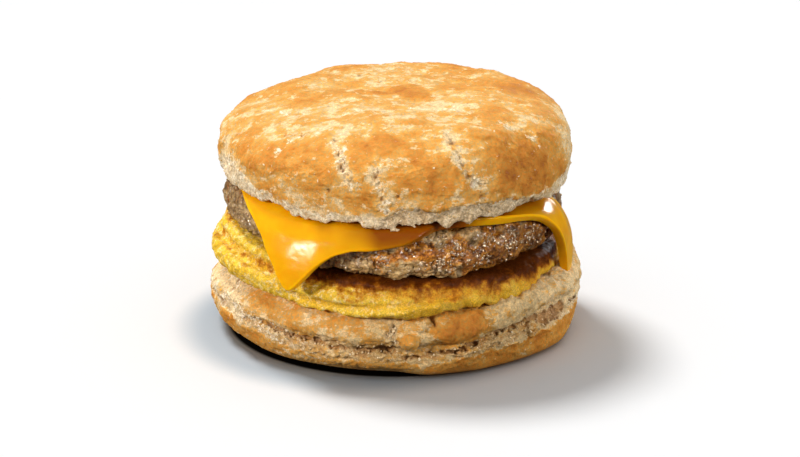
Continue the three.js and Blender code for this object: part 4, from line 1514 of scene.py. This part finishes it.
# %% Colours of the upper biscuit
def upper_colours(points, m):
    """The masks that the material reads, worked out at the places from before the last push."""
    bent = strayed(points, 1.6, 5, 105)
    bake = 0.34 + 0.03 * ease((m["height"] - 52) / 7) + 0.12 * (m["flaky"] - 0.5)
    bake += 0.05 * rough(points, 10, 107, 3) + 0.08 * rough(points, 3, 109, 4)
    bake += 0.58 * patches(bent, crown_brown) - 0.45 * patches(bent, crown_pale)
    bake -= 0.16 * bell(m["crease"], 2.0) * ease((m["height"] - 43) / 3)
    cream = 0.55 * m["crumbly"] * ease(0.6 + 1.2 * rough(points, 2.0, 111, 3))
    bake -= 0.06 * ease(1 - np.abs(m["torn"] + 0.5) / 0.8) + 0.26 * m["frill"] + 0.6 * cream
    left_frill = mix(0.60, 1.0, within(m["angle"], 184, 250, 16))
    # painted shade: the torn crumb at the front is given the darker tan
    in_shade = 0.5 * within(m["angle"], 262, 334, 14)
    return {"bake": bake,
            "crumb": np.maximum.reduce([m["crumb"], left_frill * m["frill"], cream]),
            "tan": in_shade * np.maximum(m["crumb"], m["frill"]),
            "hollow": m["hollow"]}


paint(upper_crust, **upper_colours(points, masks))
finished(upper_crust, biscuit)

# %% [markdown]
# ## Strewing small bits
# A torn biscuit sheds crumbs along its tears, its crown lifts small flakes, and hot fat stands on the
# patty in beads that catch the light. Particles could strew them, but they would be lost if the model
# were saved for other programs. Here the bits of each kind are drawn by a seeded rule and joined into
# one mesh.

# %% Scattered bits
def scattered(name, base, weight, count, size, form, sunk, finish, seed):
    """Bits that lie on a base where the weight allows, each a rounded lump of its own size and form."""
    draw = np.random.default_rng(seed)
    points, normals = points_of(base), normals_of(base)
    lump = bmesh.new()
    bmesh.ops.create_icosphere(lump, subdivisions=1, radius=1.0)
    ball = np.array([corner.co for corner in lump.verts])
    faces = np.array([[corner.index for corner in face.verts] for face in lump.faces])
    lump.free()
    corners, joined = [], []
    for number, spot in enumerate(draw.choice(len(points), count, p=weight / weight.sum())):
        up = Vector(normals[spot])
        turn = up.to_track_quat("Z", "Y").to_matrix() @ Matrix.Rotation(draw.uniform(0, math.tau), 3, "Z")
        half = draw.uniform(*size) * np.array(form) * draw.uniform(0.7, 1.3, 3)
        uneven = 1 + draw.uniform(-0.18, 0.18, (len(ball), 1))
        lying = (ball * half * uneven) @ np.array(turn).T
        corners.append(points[spot] + lying + normals[spot] * half[2] * (1 - 2 * sunk))
        joined.append(faces + number * len(ball))
    mesh = bpy.data.meshes.new(name)
    mesh.from_pydata((np.concatenate(corners) * MM).tolist(), [], np.concatenate(joined).tolist())
    piece = bpy.data.objects.new(name, mesh)
    food.objects.link(piece)
    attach(piece, "root")
    finished(piece, finish)
    return piece


def read(piece, name):
    """The painted values of a piece, by their name."""
    values = np.empty(len(piece.data.vertices), np.float32)
    piece.data.attributes[name].data.foreach_get("value", values)
    return values.astype(float)


print("the lower biscuit's mean share of crumb is", round(float(read(lower_crust, "crumb").mean()), 2))

# %% [markdown]
# ## Crumbs and flakes
# Crumbs are small lumps, flakes are flat chips of crust. Both could be one mesh, but they lie on
# different pieces and are shaped differently, so each kind is its own. They share one dry, matt finish
# that goes from tan to cream, and lie thickest where the painted crumb is strongest.

# %% Crumbs and flakes
def crumb_finish():
    finish = Finish("loose_crumbs")
    colour = finish.ramp(finish.between(finish.noise(0.9, 3, 0.6, seed=2.4), 0.35, 0.65), [
        (0.0, (0.66, 0.40, 0.14)), (0.5, (0.80, 0.60, 0.34)), (1.0, (0.88, 0.74, 0.50))])
    finish.bumps((finish.noise(0.2, 2, 0.5, seed=8.8), 0.05))
    return finish.set(Base_Color=colour, Roughness=0.8, Specular_IOR_Level=0.2)


loose_crumbs = crumb_finish()
below = read(lower_crust, "crumb") * ease((radius_of(points_of(lower_crust)) - 41) / 2) + 1e-9
scattered("lower_biscuit_crumbs", lower_crust, below ** 2, 300, size=(0.14, 0.38), form=(1, 0.8, 0.6),
          sunk=0.35, finish=loose_crumbs, seed=5)
above = read(upper_crust, "crumb") * ease((radius_of(points_of(upper_crust)) - 41.5) / 2) + 1e-9
scattered("upper_biscuit_crumbs", upper_crust, above ** 2, 260, size=(0.12, 0.32), form=(1, 0.8, 0.6),
          sunk=0.35, finish=loose_crumbs, seed=6)
crown = ease((points_of(upper_crust)[:, 2] - 46) / 3) * (0.02 + read(upper_crust, "crumb"))
scattered("upper_biscuit_flakes", upper_crust, crown, 260, size=(0.14, 0.42), form=(1, 0.55, 0.20),
          sunk=0.35, finish=loose_crumbs, seed=7)

# %% [markdown]
# ## Beads of fat
# The patty's shine is strongest where hot fat stands in beads. White dots in the material would look
# painted, because a real glint moves with the light. So the beads are small mounds of their own, half
# sunk into the meat, brown like its juices and with a smooth, wet coat.

# %% Beads of fat
def fat_finish():
    finish = Finish("beads_of_fat")
    colour = finish.ramp(finish.between(finish.noise(1.5, 3, 0.6, seed=6.4), 0.35, 0.65), [
        (0.0, (0.50, 0.30, 0.14)), (1.0, (0.80, 0.62, 0.42))])
    finish.bumps((finish.noise(0.5, 2, 0.5, seed=1.8), 0.03))
    return finish.set(Base_Color=colour, Roughness=0.08, Metallic=0.4,
                      Coat_Weight=1.0, Coat_Roughness=0.03)


places = points_of(patty)
wet = ease((radius_of(places) - 39) / 1.5) * ease(0.4 + rough(places, 4, 133, 2) * 1.5) + 1e-9
wet *= 0.08 + patches(places, shiny_spots)
scattered("sausage_patty_fat", patty, wet, 420, size=(0.22, 0.60), form=(1, 0.8, 0.55),
          sunk=0.45, finish=fat_finish(), seed=8)
